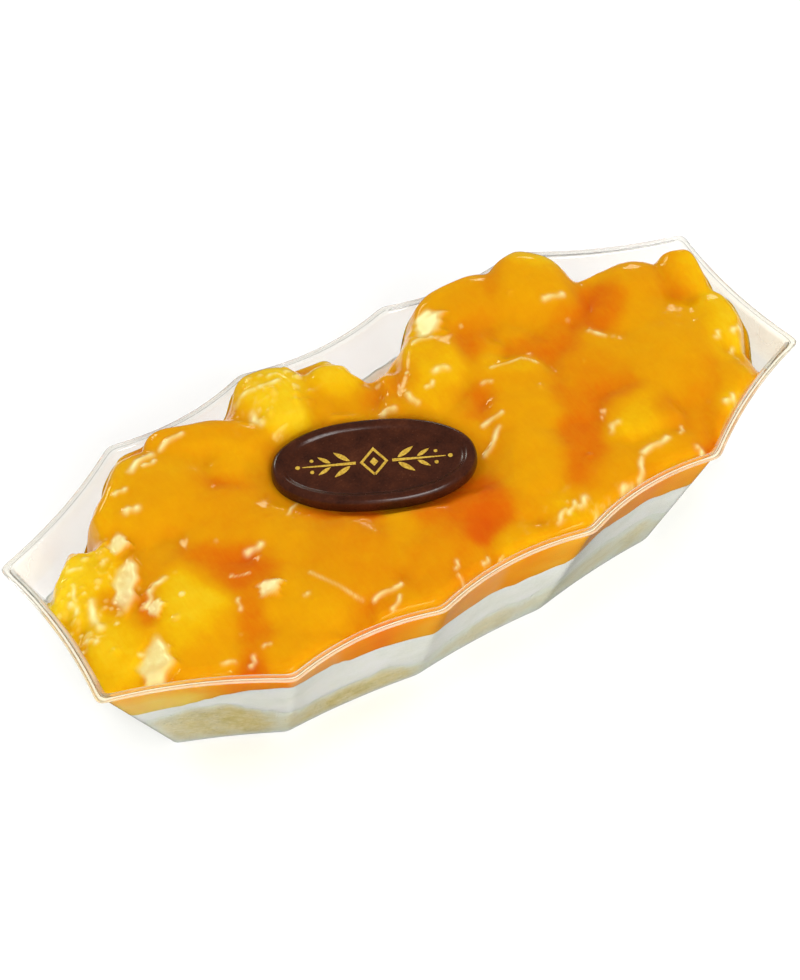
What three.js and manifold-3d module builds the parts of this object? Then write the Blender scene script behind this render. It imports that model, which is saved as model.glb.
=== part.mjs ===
// Tres leches cake cup: a clear, boat-shaped, faceted dessert cup filled with a
// soaked sponge layer, a cream layer and a heaped topping of mango chunks in a
// glossy mango glaze, with an oval chocolate plaque lying on top.
//
// Millimetres, +Z up. The long side of the cup runs along X. The origin is the
// middle of the flat underside of the cup.
import * as THREE from 'three';
import { mergeVertices } from 'three/addons/utils/BufferGeometryUtils.js';
import Module from 'manifold-3d';

const wasm = await Module();
wasm.setup();

// ------------------------------------------------------------------ sizes --
const HEIGHT = 33.3;            // cup height, underside to top of the lip
const RIM_HALF_LENGTH = 72.5;   // rim corners at the two ends
const RIM_END_HALF = 17.07;
const RIM_SHOULDER_X = 43.75;   // rim corners between end and side
const RIM_SHOULDER_Y = 31.4;
const RIM_SIDE_X = 15.42;       // rim corners on the long sides
const RIM_SIDE_Y = 33.22;
const BASE_HALF_LENGTH = 56.85; // the same corners at the underside
const BASE_END_HALF = 8.85;
const BASE_SHOULDER_X = 39.37;
const BASE_SHOULDER_Y = 17.84;
const BASE_SIDE_X = 13.42;
const BASE_SIDE_Y = 20.3;
const BOW_END = 1.5;            // inward bow of each rim edge
const BOW_DIAGONAL = 1.4;
const BOW_SIDE = 2.3;
const BOW_MIDDLE = 2.5;
const BOW_AT_BASE = 0.25;       // share of the bow left at the underside
const STEPS_PER_EDGE = 4;
const WALL_LEVELS = [11, 22];   // the wall twists a little, so it is built in bands

const WALL = 0.95;              // wall thickness, measured level
const FLOOR = 1.2;
const LIP_OVERHANG = 0.8;       // lip beyond the outside of the wall
const LIP_THICK = 1.2;
const LIP_ROUND = 0.4;
const FOOT_ROUND = 0.6;
const FLOOR_ROUND = 1.0;        // slope between floor and wall inside

const GAP = 0.35;               // clearance between neighbouring pieces
const WALL_GAP = 0.45;          // and between the fillings and the wall
const CREAM_TOP = 22.2;         // mean height of the top of the cream
const CAKE_LOW = 10.2;          // top of the sponge along the middle
const CAKE_HIGH = 17.6;         // top of the sponge at the left end
const GLAZE_MIDDLE = 33.2;      // glaze between the chunks, away from the wall
const GLAZE_REACH = 4;          // width of the slope from wall to middle
const GLAZE_REACH_LOW = 1.5;    // and how much wider for each mm it starts lower

const PLAQUE_HALF_LENGTH = 19;
const PLAQUE_HALF_WIDTH = 10;
const PLAQUE_THICK = 3.4;
const PLAQUE_RIM = 2.4;         // width of the raised border
const PLAQUE_RECESS = 0.8;      // depth of the field inside the border
const PLAQUE_AT = [-9.4, 0.4, 35.2];
const PLAQUE_YAW = -29;
const PLAQUE_TILT = [3, -1];    // degrees about its length and its width

// Level of the glaze against the wall, by place round the rim: whole numbers
// are rim corners, counted from the far left end corner through the near side.
const GLAZE_AT_WALL = [
  [0, 25.6], [0.12, 26.0], [0.35, 31.0], [0.6, 32.2], [1, 32.3], [5, 32.3], [5.5, 31.8],
  [6, 27.5], [6.5, 29.5], [7, 31.0], [7.4, 28.5], [7.65, 26.5], [8, 31.0],
  [8.75, 31.0], [9.0, 24.8], [9.3, 24.6], [9.55, 29.5], [10, 32.2],
  [10.3, 30.2], [10.6, 31.8], [11, 31.8], [11.3, 29.0], [11.55, 26.2], [12, 25.6],
];

// Mango chunks: name, centre x y z, half sizes along, across, up, and yaw in
// degrees. The more prominent ones come first and keep their full shape.
const CHUNKS = [
  ['big_yellow', -49.1, -9.7, 31.0, 8.4, 11.0, 5.6, -21],
  ['big_round', 50.8, -7.7, 31.0, 9.7, 12.4, 6.6, -33],
  ['back_tall', 39.2, 19.2, 32.0, 8.0, 9.4, 7.0, -33],
  ['back_long', 26.0, 22.6, 32.0, 9.0, 6.4, 6.4, 0],
  ['slab_left', -43.6, 16.0, 31.5, 10.4, 10.6, 5.5, -33],
  ['far_bright', -14.4, 24.6, 32.0, 7.6, 5.6, 6.4, -15],
  ['far_small', -3.4, 20.6, 32.2, 4.6, 4.0, 4.8, -33],
  ['ridge', -27.0, 18.6, 32.0, 9.6, 4.6, 5.6, -33],
  ['end_small', -63.6, 6.0, 31.0, 3.8, 5.6, 4.2, -12],
  ['near_corner', -62.6, -7.4, 31.0, 5.2, 7.2, 4.0, -40],
  ['cube', 37.7, -16.5, 31.5, 5.8, 5.6, 5.7, -12],
  ['right_far', 66.4, 7.6, 32.0, 4.6, 6.4, 6.0, -20],
  ['right_side', 64.2, -5.2, 31.5, 5.0, 7.0, 5.6, -33],
  ['beside_plaque', 14.6, 14.6, 32.0, 6.3, 8.6, 5.6, -33],
  ['middle_right', 23.6, -0.6, 32.0, 6.6, 5.4, 4.8, -33],
  ['inner_right', 17.7, -12.9, 31.5, 5.6, 6.2, 4.7, -33],
  ['near_round', -21.6, -14.0, 31.0, 7.2, 8.2, 4.8, -33],
  ['near_left', -34.6, -17.2, 31.0, 7.0, 5.6, 4.4, -20],
  ['inner_left', -30.4, -3.4, 31.0, 5.6, 5.8, 4.6, -33],
  ['near_middle', -6.8, -21.6, 31.0, 6.0, 7.0, 4.6, -33],
  ['far_end', 56.4, 10.6, 32.0, 6.4, 5.0, 5.2, -20],
  ['near_right', 20.6, -24.6, 31.0, 6.0, 4.6, 3.8, 0],
];
const CHUNK_SQUARENESS = 2.5;   // 2 is an ellipsoid, more is boxier
const CHUNK_UNEVEN = 0.05;

// ---------------------------------------------------------------- outline --
// Twelve corners, symmetric both ways, from the far left end corner round
// through the near side.
function corners(ax, ay, bx, by, cx, cy) {
  return [
    [-ax, ay], [-ax, -ay], [-bx, -by], [-cx, -cy], [cx, -cy], [bx, -by],
    [ax, -ay], [ax, ay], [bx, by], [cx, cy], [-cx, cy], [-bx, by],
  ];
}
const RIM = corners(RIM_HALF_LENGTH, RIM_END_HALF, RIM_SHOULDER_X, RIM_SHOULDER_Y, RIM_SIDE_X, RIM_SIDE_Y);
const BASE = corners(BASE_HALF_LENGTH, BASE_END_HALF, BASE_SHOULDER_X, BASE_SHOULDER_Y, BASE_SIDE_X, BASE_SIDE_Y);
const BOW = [
  BOW_END, BOW_DIAGONAL, BOW_SIDE, BOW_MIDDLE, BOW_SIDE, BOW_DIAGONAL,
  BOW_END, BOW_DIAGONAL, BOW_SIDE, BOW_MIDDLE, BOW_SIDE, BOW_DIAGONAL,
];
const COLUMNS = 12 * STEPS_PER_EDGE;

function bowedEdge(poly, i, t, share) {
  const a = poly[i];
  const b = poly[(i + 1) % 12];
  const dx = b[0] - a[0];
  const dy = b[1] - a[1];
  const len = Math.hypot(dx, dy);
  const bow = BOW[i] * share * 4 * t * (1 - t);
  return [a[0] + dx * t - (dy / len) * bow, a[1] + dy * t + (dx / len) * bow];
}

// Closed level outline of the outside of the wall at height z, moved inward.
function outline(z, inset) {
  const h = z / HEIGHT;
  const line = [];
  for (let c = 0; c < COLUMNS; c += 1) {
    const i = Math.floor(c / STEPS_PER_EDGE);
    const t = (c % STEPS_PER_EDGE) / STEPS_PER_EDGE;
    const p = bowedEdge(BASE, i, t, BOW_AT_BASE);
    const q = bowedEdge(RIM, i, t, 1);
    line.push([p[0] + (q[0] - p[0]) * h, p[1] + (q[1] - p[1]) * h]);
  }
  return line.map((p, c) => {
    const a = line[(c + COLUMNS - 1) % COLUMNS];
    const b = line[(c + 1) % COLUMNS];
    const n1 = inward(a, p);
    const n2 = inward(p, b);
    const k = inset / (1 + n1[0] * n2[0] + n1[1] * n2[1]);
    return [p[0] + (n1[0] + n2[0]) * k, p[1] + (n1[1] + n2[1]) * k];
  });
}

function inward(a, b) {
  const dx = b[0] - a[0];
  const dy = b[1] - a[1];
  const len = Math.hypot(dx, dy);
  return [-dy / len, dx / len];
}

// The inside face of the wall stands this far in from the rim outline.
const INSIDE = LIP_OVERHANG + WALL;
const insideAt = (z) => LIP_OVERHANG * (z / HEIGHT) + WALL;

// ---------------------------------------------------------------- solids --
// Skin over closed rings of COLUMNS points each; the first and last ring are
// closed by a fan to their own middle point. The first bands are creased along
// the other diagonal, so that a lower face fits the upper face it lies on.
function ringSolid(rings, firstMiddle, lastMiddle, mirrored = 0) {
  const pos = [];
  const idx = [];
  rings.forEach((ring) => ring.forEach((p) => pos.push(p[0], p[1], p[2])));
  const first = pos.length / 3;
  pos.push(...firstMiddle);
  const last = pos.length / 3;
  pos.push(...lastMiddle);
  const n = rings[0].length;
  for (let c = 0; c < n; c += 1) {
    const d = (c + 1) % n;
    idx.push(first, d, c);
    for (let r = 0; r + 1 < rings.length; r += 1) {
      const a = r * n + c;
      const b = r * n + d;
      if (r < mirrored) idx.push(a, b + n, a + n, a, b, b + n);
      else idx.push(a, b, a + n, b, b + n, a + n);
    }
    const e = (rings.length - 1) * n;
    idx.push(last, e + c, e + d);
  }
  const geometry = new THREE.BufferGeometry();
  geometry.setAttribute('position', new THREE.Float32BufferAttribute(pos, 3));
  geometry.setIndex(idx);
  return geometry;
}

const levelRing = (z, inset) => outline(z, inset).map((p) => [p[0], p[1], z]);

function cupGeometry() {
  const top = HEIGHT;
  const under = HEIGHT - LIP_THICK;
  const rings = [
    levelRing(0, FOOT_ROUND),
    levelRing(FOOT_ROUND, 0),
    ...WALL_LEVELS.map((z) => levelRing(z, insideAt(z) - WALL)),
    levelRing(under, LIP_OVERHANG),
    levelRing(under + 0.05, 0.15),
    levelRing(top - LIP_ROUND, 0),
    levelRing(top, LIP_ROUND),
    levelRing(top, INSIDE - LIP_ROUND),
    levelRing(top - LIP_ROUND, INSIDE),
    ...WALL_LEVELS.map((z) => levelRing(z, insideAt(z))).reverse(),
    levelRing(FLOOR + FLOOR_ROUND, insideAt(FLOOR + FLOOR_ROUND)),
    levelRing(FLOOR, insideAt(FLOOR) + FLOOR_ROUND),
  ];
  return ringSolid(rings, [0, 0, 0], [0, 0, FLOOR]);
}

// An uneven surface across the inside of the cup, as rings from the wall to
// near the middle. The wall leans out, so the outermost ring takes its place
// from the surface's own height there.
const SHARES = [1, 0.86, 0.64, 0.36];
function surfaceRings(height, shares) {
  const edge = [];
  for (let c = 0; c < COLUMNS; c += 1) {
    const place = c / STEPS_PER_EDGE;
    const guess = outline(20, 0)[c];
    let z = height(guess[0], guess[1], 1, place);
    const p = outline(z, insideAt(z) + WALL_GAP)[c];
    z = height(p[0], p[1], 1, place);
    edge.push([p[0], p[1], z]);
  }
  return shares.map((s) => edge.map((p, c) => {
    if (s === 1) return p;
    const x = p[0] * s;
    const y = p[1] * s;
    return [x, y, height(x, y, s, c / STEPS_PER_EDGE)];
  }));
}

// A filling that lies on the surface below it and ends in one of its own.
const raise = (rings, by) => rings.map((ring) => ring.map((p) => [p[0], p[1], p[2] + by]));
function filling(below, belowMiddle, above, aboveMiddle) {
  const rings = raise(below, GAP).reverse().concat(above);
  return ringSolid(rings, [0, 0, belowMiddle + GAP], [0, 0, aboveMiddle], below.length - 1);
}

const smooth = (a, b, x) => {
  const t = Math.min(1, Math.max(0, (x - a) / (b - a)));
  return t * t * (3 - 2 * t);
};

const cakeTop = (x, y) => CAKE_LOW
  + (CAKE_HIGH - CAKE_LOW) * (1 - smooth(-52, -22, x))
  + 2.2 * smooth(30, 55, x)
  + 0.7 * Math.sin(0.23 * x + 0.4) + 0.5 * Math.sin(0.31 * y + 1.1);
const creamTop = (x, y) => CREAM_TOP
  + 0.9 * Math.sin(0.17 * x + 0.8) + 0.5 * Math.sin(0.22 * y - 0.6);

function glazeAtWall(place) {
  const t = place % 12;
  for (let i = 0; i + 1 < GLAZE_AT_WALL.length; i += 1) {
    const [p, a] = GLAZE_AT_WALL[i];
    const [q, b] = GLAZE_AT_WALL[i + 1];
    if (t >= p && t <= q) return a + (b - a) * smooth(p, q, t);
  }
  return GLAZE_AT_WALL[0][1];
}
function glazeTop(x, y, share, place = 0) {
  const level = GLAZE_MIDDLE + 0.5 * Math.sin(0.21 * x + 0.5) * Math.cos(0.19 * y);
  const wall = glazeAtWall(place);
  if (share === 1) return wall;
  if (share === 0) return level;
  const width = GLAZE_REACH + GLAZE_REACH_LOW * Math.max(0, level - wall);
  return wall + (level - wall) * smooth(0, width, Math.hypot(x, y) * (1 / share - 1));
}

// Lumpy rounded block: an icosphere pushed towards a box, slightly uneven.
function chunkGeometry([name, x, y, z, rx, ry, rz, yaw], grow) {
  const detail = rx * ry > 70 ? 2 : 1;
  const geometry = new THREE.IcosahedronGeometry(1, detail);
  geometry.deleteAttribute('normal');
  geometry.deleteAttribute('uv');
  const merged = mergeVertices(geometry, 1e-4);
  const pos = merged.getAttribute('position');
  const phase = x * 0.37 + y * 0.53;
  const n = CHUNK_SQUARENESS;
  const turn = THREE.MathUtils.degToRad(yaw);
  for (let i = 0; i < pos.count; i += 1) {
    const v = [pos.getX(i), pos.getY(i), pos.getZ(i)];
    const box = Math.pow(Math.abs(v[0]) ** n + Math.abs(v[1]) ** n + Math.abs(v[2]) ** n, -1 / n);
    const uneven = 1 + CHUNK_UNEVEN * Math.sin(3.1 * v[0] + phase) * Math.cos(2.7 * v[1] - phase);
    const r = box * uneven;
    const px = v[0] * r * (rx + grow);
    const py = v[1] * r * (ry + grow);
    const pz = v[2] * r * (rz + grow);
    pos.setXYZ(
      i,
      x + px * Math.cos(turn) - py * Math.sin(turn),
      y + px * Math.sin(turn) + py * Math.cos(turn),
      z + pz,
    );
  }
  return merged;
}

// The chocolate plaque: an oval slab with a rounded raised border.
function plaqueGeometry(grow, tall) {
  const half = PLAQUE_THICK / 2;
  const profile = tall
    ? [[0, -half - grow], [0.9, -half - grow], [1, -half + 0.7], [1, half + 12], [0, half + 12]]
    : [
      [0, -half], [1 - 1.2 / 14, -half], [1 - 0.3 / 14, -half + 0.7], [1, 0.2],
      [1 - 0.4 / 14, half - 0.5], [1 - 1.1 / 14, half], [1 - (PLAQUE_RIM - 0.6) / 14, half],
      [1 - PLAQUE_RIM / 14, half - PLAQUE_RECESS], [0, half - PLAQUE_RECESS],
    ];
  const points = profile.map(([r, h]) => new THREE.Vector2(r, h));
  const geometry = new THREE.LatheGeometry(points, tall ? 24 : 32);
  geometry.rotateX(Math.PI / 2);
  geometry.scale(PLAQUE_HALF_LENGTH + grow, PLAQUE_HALF_WIDTH + grow, 1);
  const turn = new THREE.Euler(
    THREE.MathUtils.degToRad(PLAQUE_TILT[0]),
    THREE.MathUtils.degToRad(PLAQUE_TILT[1]),
    THREE.MathUtils.degToRad(PLAQUE_YAW),
    'ZXY',
  );
  geometry.applyMatrix4(new THREE.Matrix4().makeRotationFromEuler(turn));
  geometry.translate(...PLAQUE_AT);
  return geometry;
}

// ----------------------------------------------------------- cut and join --
function toSolid(geometry) {
  const bare = geometry.clone();
  bare.deleteAttribute('normal');
  bare.deleteAttribute('uv');
  const merged = mergeVertices(bare, 1e-4);
  const pos = merged.getAttribute('position').array;
  return new wasm.Manifold(new wasm.Mesh({
    numProp: 3,
    vertProperties: new Float32Array(pos),
    triVerts: new Uint32Array(merged.getIndex().array),
  }));
}

function toGeometry(solid) {
  const mesh = solid.getMesh();
  const geometry = new THREE.BufferGeometry();
  geometry.setAttribute('position', new THREE.BufferAttribute(new Float32Array(mesh.vertProperties), 3));
  geometry.setIndex(new THREE.BufferAttribute(new Uint32Array(mesh.triVerts), 1));
  return geometry;
}

// Room inside the cup, carried straight up above the lip.
function roomGeometry() {
  const rings = [
    levelRing(CREAM_TOP + 1.8, insideAt(CREAM_TOP + 1.8) + GAP),
    levelRing(HEIGHT - 0.5, INSIDE + GAP),
    outline(HEIGHT, INSIDE + GAP).map((p) => [p[0], p[1], HEIGHT + 15]),
  ];
  return ringSolid(rings, [0, 0, CREAM_TOP + 1.8], [0, 0, HEIGHT + 15]);
}

// --------------------------------------------------------------- the part --
const part = new THREE.Group();
function add(name, geometry, color, roughness) {
  geometry.computeVertexNormals();
  const mesh = new THREE.Mesh(geometry, new THREE.MeshStandardMaterial({ color, roughness, metalness: 0 }));
  mesh.name = name;
  part.add(mesh);
}

add('cup', cupGeometry(), 0xeef0ee, 0.1);

// The sponge stands on the floor, so it starts from two level rings.
const cakeRings = surfaceRings(cakeTop, SHARES);
const creamRings = surfaceRings(creamTop, SHARES);
const glazeRings = surfaceRings(glazeTop, [1, 0.91, 0.8, 0.66, 0.4]);
const foot = FLOOR + GAP;
const shoulder = foot + FLOOR_ROUND;
add('cake_layer', ringSolid([
  levelRing(foot, insideAt(foot) + FLOOR_ROUND + WALL_GAP),
  levelRing(shoulder, insideAt(shoulder) + WALL_GAP),
  ...cakeRings,
], [0, 0, foot], [0, 0, cakeTop(0, 0)]), 0xd9c68f, 0.9);
add('cream_layer', filling(cakeRings, cakeTop(0, 0), creamRings, creamTop(0, 0)), 0xeef0ea, 0.6);

const room = toSolid(roomGeometry());
const plaqueRoom = toSolid(plaqueGeometry(GAP, true));
const grown = CHUNKS.map((chunk) => toSolid(chunkGeometry(chunk, GAP)));

let glaze = toSolid(filling(creamRings, creamTop(0, 0), glazeRings, glazeTop(0, 0, 0)))
  .subtract(plaqueRoom);
grown.forEach((chunk) => { glaze = glaze.subtract(chunk); });
add('mango_glaze', toGeometry(glaze), 0xe07c12, 0.15);

CHUNKS.forEach((chunk, i) => {
  let solid = toSolid(chunkGeometry(chunk, 0)).intersect(room).subtract(plaqueRoom);
  for (let k = 0; k < i; k += 1) solid = solid.subtract(grown[k]);
  add(`mango_${chunk[0]}`, toGeometry(solid), 0xeba31a, 0.3);
});

add('chocolate_plaque', toGeometry(toSolid(plaqueGeometry(0, false))), 0x3a1c12, 0.35);

export default part;
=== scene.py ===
import math

import bpy
import numpy as np
from mathutils import Matrix, Vector


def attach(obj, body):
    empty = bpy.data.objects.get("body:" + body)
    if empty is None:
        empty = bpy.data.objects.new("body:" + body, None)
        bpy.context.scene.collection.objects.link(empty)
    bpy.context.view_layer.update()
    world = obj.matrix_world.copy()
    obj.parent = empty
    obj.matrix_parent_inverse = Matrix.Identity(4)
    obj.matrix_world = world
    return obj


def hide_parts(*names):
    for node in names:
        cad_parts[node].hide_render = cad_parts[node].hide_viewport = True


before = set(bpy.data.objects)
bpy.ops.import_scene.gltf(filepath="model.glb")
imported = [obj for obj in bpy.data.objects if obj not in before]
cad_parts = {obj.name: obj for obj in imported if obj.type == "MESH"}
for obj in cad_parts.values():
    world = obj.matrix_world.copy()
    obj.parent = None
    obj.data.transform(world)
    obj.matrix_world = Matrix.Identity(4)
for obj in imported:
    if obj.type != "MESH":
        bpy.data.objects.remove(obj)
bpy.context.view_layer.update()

MM = 0.001

# ---------------------------------------------------------------- camera ---
# Fitted to the cup's corners: 48 degrees down, 31 degrees round to the left.
cam_data = bpy.data.cameras.new("camera")
cam = bpy.data.objects.new("camera", cam_data)
bpy.context.scene.collection.objects.link(cam)
cam_data.sensor_width = 36.0
cam_data.lens = 97.38
cam_data.clip_start = 0.01
cam_data.clip_end = 20.0
RIGHT = Vector((0.83672702, -0.54673996, -0.03103724))
UP = Vector((0.4254026, 0.6132514, 0.66554891))
BACK = Vector((-0.34484855, -0.57008608, 0.74570862))
cam.matrix_world = Matrix.Translation((-0.16620, -0.27006, 0.37803)) @ Matrix(
    (RIGHT, UP, BACK)
).transposed().to_4x4()
bpy.context.scene.camera = cam

# ------------------------------------------------------- cup, same as CAD ---
HEIGHT = 33.3
BOW = [1.5, 1.4, 2.3, 2.5, 2.3, 1.4] * 2
BOW_AT_BASE = 0.25
WALL = 0.95
FLOOR = 1.2
LIP = 0.8


def corners(ax, ay, bx, by, cx, cy):
    return np.array([
        (-ax, ay), (-ax, -ay), (-bx, -by), (-cx, -cy), (cx, -cy), (bx, -by),
        (ax, -ay), (ax, ay), (bx, by), (cx, cy), (-cx, cy), (-bx, by)], float)


RIM = corners(72.5, 17.07, 43.75, 31.4, 15.42, 33.22)
BASE = corners(56.85, 8.85, 39.37, 17.84, 13.42, 20.3)
FINE = 120  # points per edge before the corners are rounded


def smooth_closed(p, sigma_mm, step=30.0 / FINE):
    """Rounds a closed line's corners by about sigma_mm. An edge is about 30 mm long."""
    s = sigma_mm / step
    r = int(math.ceil(3 * s))
    k = np.exp(-0.5 * (np.arange(-r, r + 1) / s) ** 2)
    k /= k.sum()
    out = np.zeros_like(p)
    for w, d in zip(k, range(-r, r + 1)):
        out += w * np.roll(p, d, 0)
    return out


def bowed(poly, share):
    """Points of a scalloped line, and for each the step that insets it by one."""
    t = (np.arange(FINE) / FINE)[:, None]
    line, normal, along, ends = [], [], [], []
    for i in range(12):
        a, b = poly[i], poly[(i + 1) % 12]
        d = b - a
        n = np.array((-d[1], d[0])) / np.linalg.norm(d)
        bow = BOW[i] * share * 4
        line.append(a + d * t + n * (bow * t * (1 - t)))

        def unit(at):
            g = d + n * (bow * (1 - 2 * at))
            return g / np.linalg.norm(g, axis=-1, keepdims=True)

        g = unit(t)
        along.append(g)
        normal.append(np.stack((-g[:, 1], g[:, 0]), -1))
        ends.append((unit(np.array([0.0])), unit(np.array([1.0]))))
    lean = []
    for i in range(12):
        a, b = ends[i - 1][1], ends[i][0]
        lean.append(math.tan(0.5 * math.atan2(a[0] * b[1] - a[1] * b[0], a @ b)))
    inset = []
    for i in range(12):
        s = lean[i] * (1 - t) - lean[(i + 1) % 12] * t
        inset.append(normal[i] + along[i] * s)
    return np.concatenate(line), np.concatenate(inset)


RIM_LINE, RIM_INSET = (smooth_closed(a, 0.85) for a in bowed(RIM, 1.0))
RIM_LINE = RIM_LINE - 0.7 * RIM_INSET  # the rolled edge of the lip stands a little further out
BASE_LINE, BASE_INSET = (smooth_closed(a, 0.7) for a in bowed(BASE, BOW_AT_BASE))


def line_at(z, place):
    """Points of the outside wall line, and the step that insets each by one. z in mm and place in 0..12."""
    place = np.asarray(place, float) % 12.0
    z = np.broadcast_to(np.asarray(z, float), place.shape)
    f = place * FINE
    i = np.floor(f).astype(int)
    w = (f - i)[..., None]
    n = len(RIM_LINE)
    i = i % n
    j = (i + 1) % n
    h = (z / HEIGHT)[..., None]

    def pick(base, rim):
        low = base[i] * (1 - w) + base[j] * w
        high = rim[i] * (1 - w) + rim[j] * w
        return low * (1 - h) + high * h

    return pick(BASE_LINE, RIM_LINE), pick(BASE_INSET, RIM_INSET)


def inset_line(z, place, inset):
    p, n = line_at(z, place)
    return p + n * np.asarray(inset, float)[..., None] if np.ndim(inset) else p + n * inset


def inside_at(z):
    """How far the inner wall face stands in from the fitted line."""
    return LIP * np.asarray(z) / HEIGHT + WALL


# ----------------------------------------------------------------- helpers --
def hash01(i, seed=0.0):
    v = np.sin(np.asarray(i, float) * 127.1 + seed * 311.7) * 43758.5453
    return v - np.floor(v)


def noise1(x, seed=0.0):
    """Smooth 1-D value noise in -1..1."""
    x = np.asarray(x, float)
    i = np.floor(x)
    t = x - i
    t = t * t * (3 - 2 * t)
    return (hash01(i, seed) * (1 - t) + hash01(i + 1, seed) * t) * 2 - 1


def noise_ring(place, cells, seed=0.0):
    """Value noise that closes round the rim."""
    x = (np.asarray(place, float) % 12.0) / 12.0 * cells
    i = np.floor(x)
    t = x - i
    t = t * t * (3 - 2 * t)
    return (hash01(i % cells, seed) * (1 - t) + hash01((i + 1) % cells, seed) * t) * 2 - 1


def noise2(x, y, seed=0.0):
    x = np.asarray(x, float)
    y = np.asarray(y, float)
    i, j = np.floor(x), np.floor(y)
    u, v = x - i, y - j
    u, v = u * u * (3 - 2 * u), v * v * (3 - 2 * v)

    def h(a, b):
        w = np.sin(a * 127.1 + b * 311.7 + seed * 74.7) * 43758.5453
        return w - np.floor(w)

    return ((h(i, j) * (1 - u) + h(i + 1, j) * u) * (1 - v)
            + (h(i, j + 1) * (1 - u) + h(i + 1, j + 1) * u) * v) * 2 - 1


def smoothstep(a, b, x):
    t = np.clip((np.asarray(x, float) - a) / (b - a), 0, 1)
    return t * t * (3 - 2 * t)


def new_mesh(name, verts_mm, faces, attributes=(), smooth=True):
    me = bpy.data.meshes.new(name)
    me.from_pydata((np.asarray(verts_mm, float) * MM).tolist(), [], faces)
    me.update()
    for key, values in attributes:
        a = me.attributes.new(key, "FLOAT", "POINT")
        a.data.foreach_set("value", np.asarray(values, np.float32).ravel())
    if smooth:
        me.polygons.foreach_set("use_smooth", [True] * len(me.polygons))
    ob = bpy.data.objects.new(name, me)
    bpy.context.scene.collection.objects.link(ob)
    return ob


def ring_faces(rings, n, close_first=None, close_last=None):
    """Faces over rings of n points each, in order, with fans to two middle points."""
    f = []
    c = np.arange(n)
    d = (c + 1) % n
    for r in range(rings - 1):
        a = r * n
        f.extend(np.stack((a + c, a + d, a + n + d, a + n + c), 1).tolist())
    if close_first is not None:
        f.extend(np.stack((np.full(n, close_first), d, c), 1).tolist())
    if close_last is not None:
        e = (rings - 1) * n
        f.extend(np.stack((np.full(n, close_last), e + c, e + d), 1).tolist())
    return f


# ------------------------------------------------------------------ nodes ---
class Nodes:
    """A small hand for building a material's node tree."""

    def __init__(self, name):
        self.mat = bpy.data.materials.new(name)
        self.mat.use_nodes = True
        self.tree = self.mat.node_tree
        self.tree.nodes.clear()

    def add(self, kind, **values):
        n = self.tree.nodes.new(kind)
        for k, v in values.items():
            if hasattr(n, k):
                setattr(n, k, v)
            else:
                self.put(n.inputs[k], v)
        return n

    def put(self, socket, v):
        if isinstance(v, bpy.types.NodeSocket):
            self.tree.links.new(v, socket)
        else:
            socket.default_value = v

    def set(self, node, **values):
        for k, v in values.items():
            self.put(node.inputs[k], v)

    def coords(self, scale=1000.0):
        """Object position in millimetres times scale / 1000."""
        t = self.add("ShaderNodeTexCoord")
        m = self.add("ShaderNodeMapping")
        self.tree.links.new(t.outputs["Object"], m.inputs["Vector"])
        m.inputs["Scale"].default_value = (scale, scale, scale)
        return m.outputs["Vector"]

    def noise(self, vector, scale, detail=3.0, rough=0.5, distortion=0.0):
        n = self.add("ShaderNodeTexNoise")
        self.tree.links.new(vector, n.inputs["Vector"])
        self.set(n, Scale=scale, Detail=detail, Roughness=rough, Distortion=distortion)
        return n.outputs[0]

    def math(self, op, a, b=None, clamp=False):
        n = self.add("ShaderNodeMath", operation=op)
        n.use_clamp = clamp
        self.put(n.inputs[0], a)
        if b is not None:
            self.put(n.inputs[1], b)
        return n.outputs[0]

    def range(self, v, a, b, c=0.0, d=1.0, smooth=False):
        n = self.add("ShaderNodeMapRange")
        n.interpolation_type = "SMOOTHSTEP" if smooth else "LINEAR"
        n.clamp = True
        for k, x in zip(range(5), (v, a, b, c, d)):
            self.put(n.inputs[k], x)
        return n.outputs[0]

    def attr(self, name):
        n = self.add("ShaderNodeAttribute")
        n.attribute_type = "GEOMETRY"
        n.attribute_name = name
        return n.outputs["Fac"]

    def ramp(self, v, stops):
        n = self.add("ShaderNodeValToRGB")
        self.put(n.inputs[0], v)
        e = n.color_ramp.elements
        while len(e) > 1:
            e.remove(e[-1])
        e[0].position, e[0].color = stops[0][0], (*stops[0][1], 1)
        for at, color in stops[1:]:
            s = e.new(at)
            s.color = (*color, 1)
        return n.outputs[0]

    def mix(self, fac, a, b, blend="MIX"):
        n = self.add("ShaderNodeMix", data_type="RGBA", blend_type=blend)
        self.put(n.inputs[0], fac)
        for s, v in ((n.inputs[6], a), (n.inputs[7], b)):
            self.put(s, v if isinstance(v, bpy.types.NodeSocket) else (*v, 1))
        return n.outputs[2]

    def bump(self, height, strength, distance, normal=None):
        n = self.add("ShaderNodeBump")
        self.set(n, Height=height, Strength=strength, Distance=distance)
        if normal is not None:
            self.put(n.inputs["Normal"], normal)
        return n.outputs[0]

    def principled(self, **values):
        n = self.add("ShaderNodeBsdfPrincipled")
        for k, v in values.items():
            self.put(n.inputs[k.replace("_", " ")], v)
        return n

    def finish(self, shader):
        o = self.add("ShaderNodeOutputMaterial")
        self.tree.links.new(shader, o.inputs["Surface"])
        return self.mat


def srgb(r, g, b):
    return tuple(((v / 255 + 0.055) / 1.055) ** 2.4 if v > 10 else v / 255 / 12.92 for v in (r, g, b))


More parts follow.
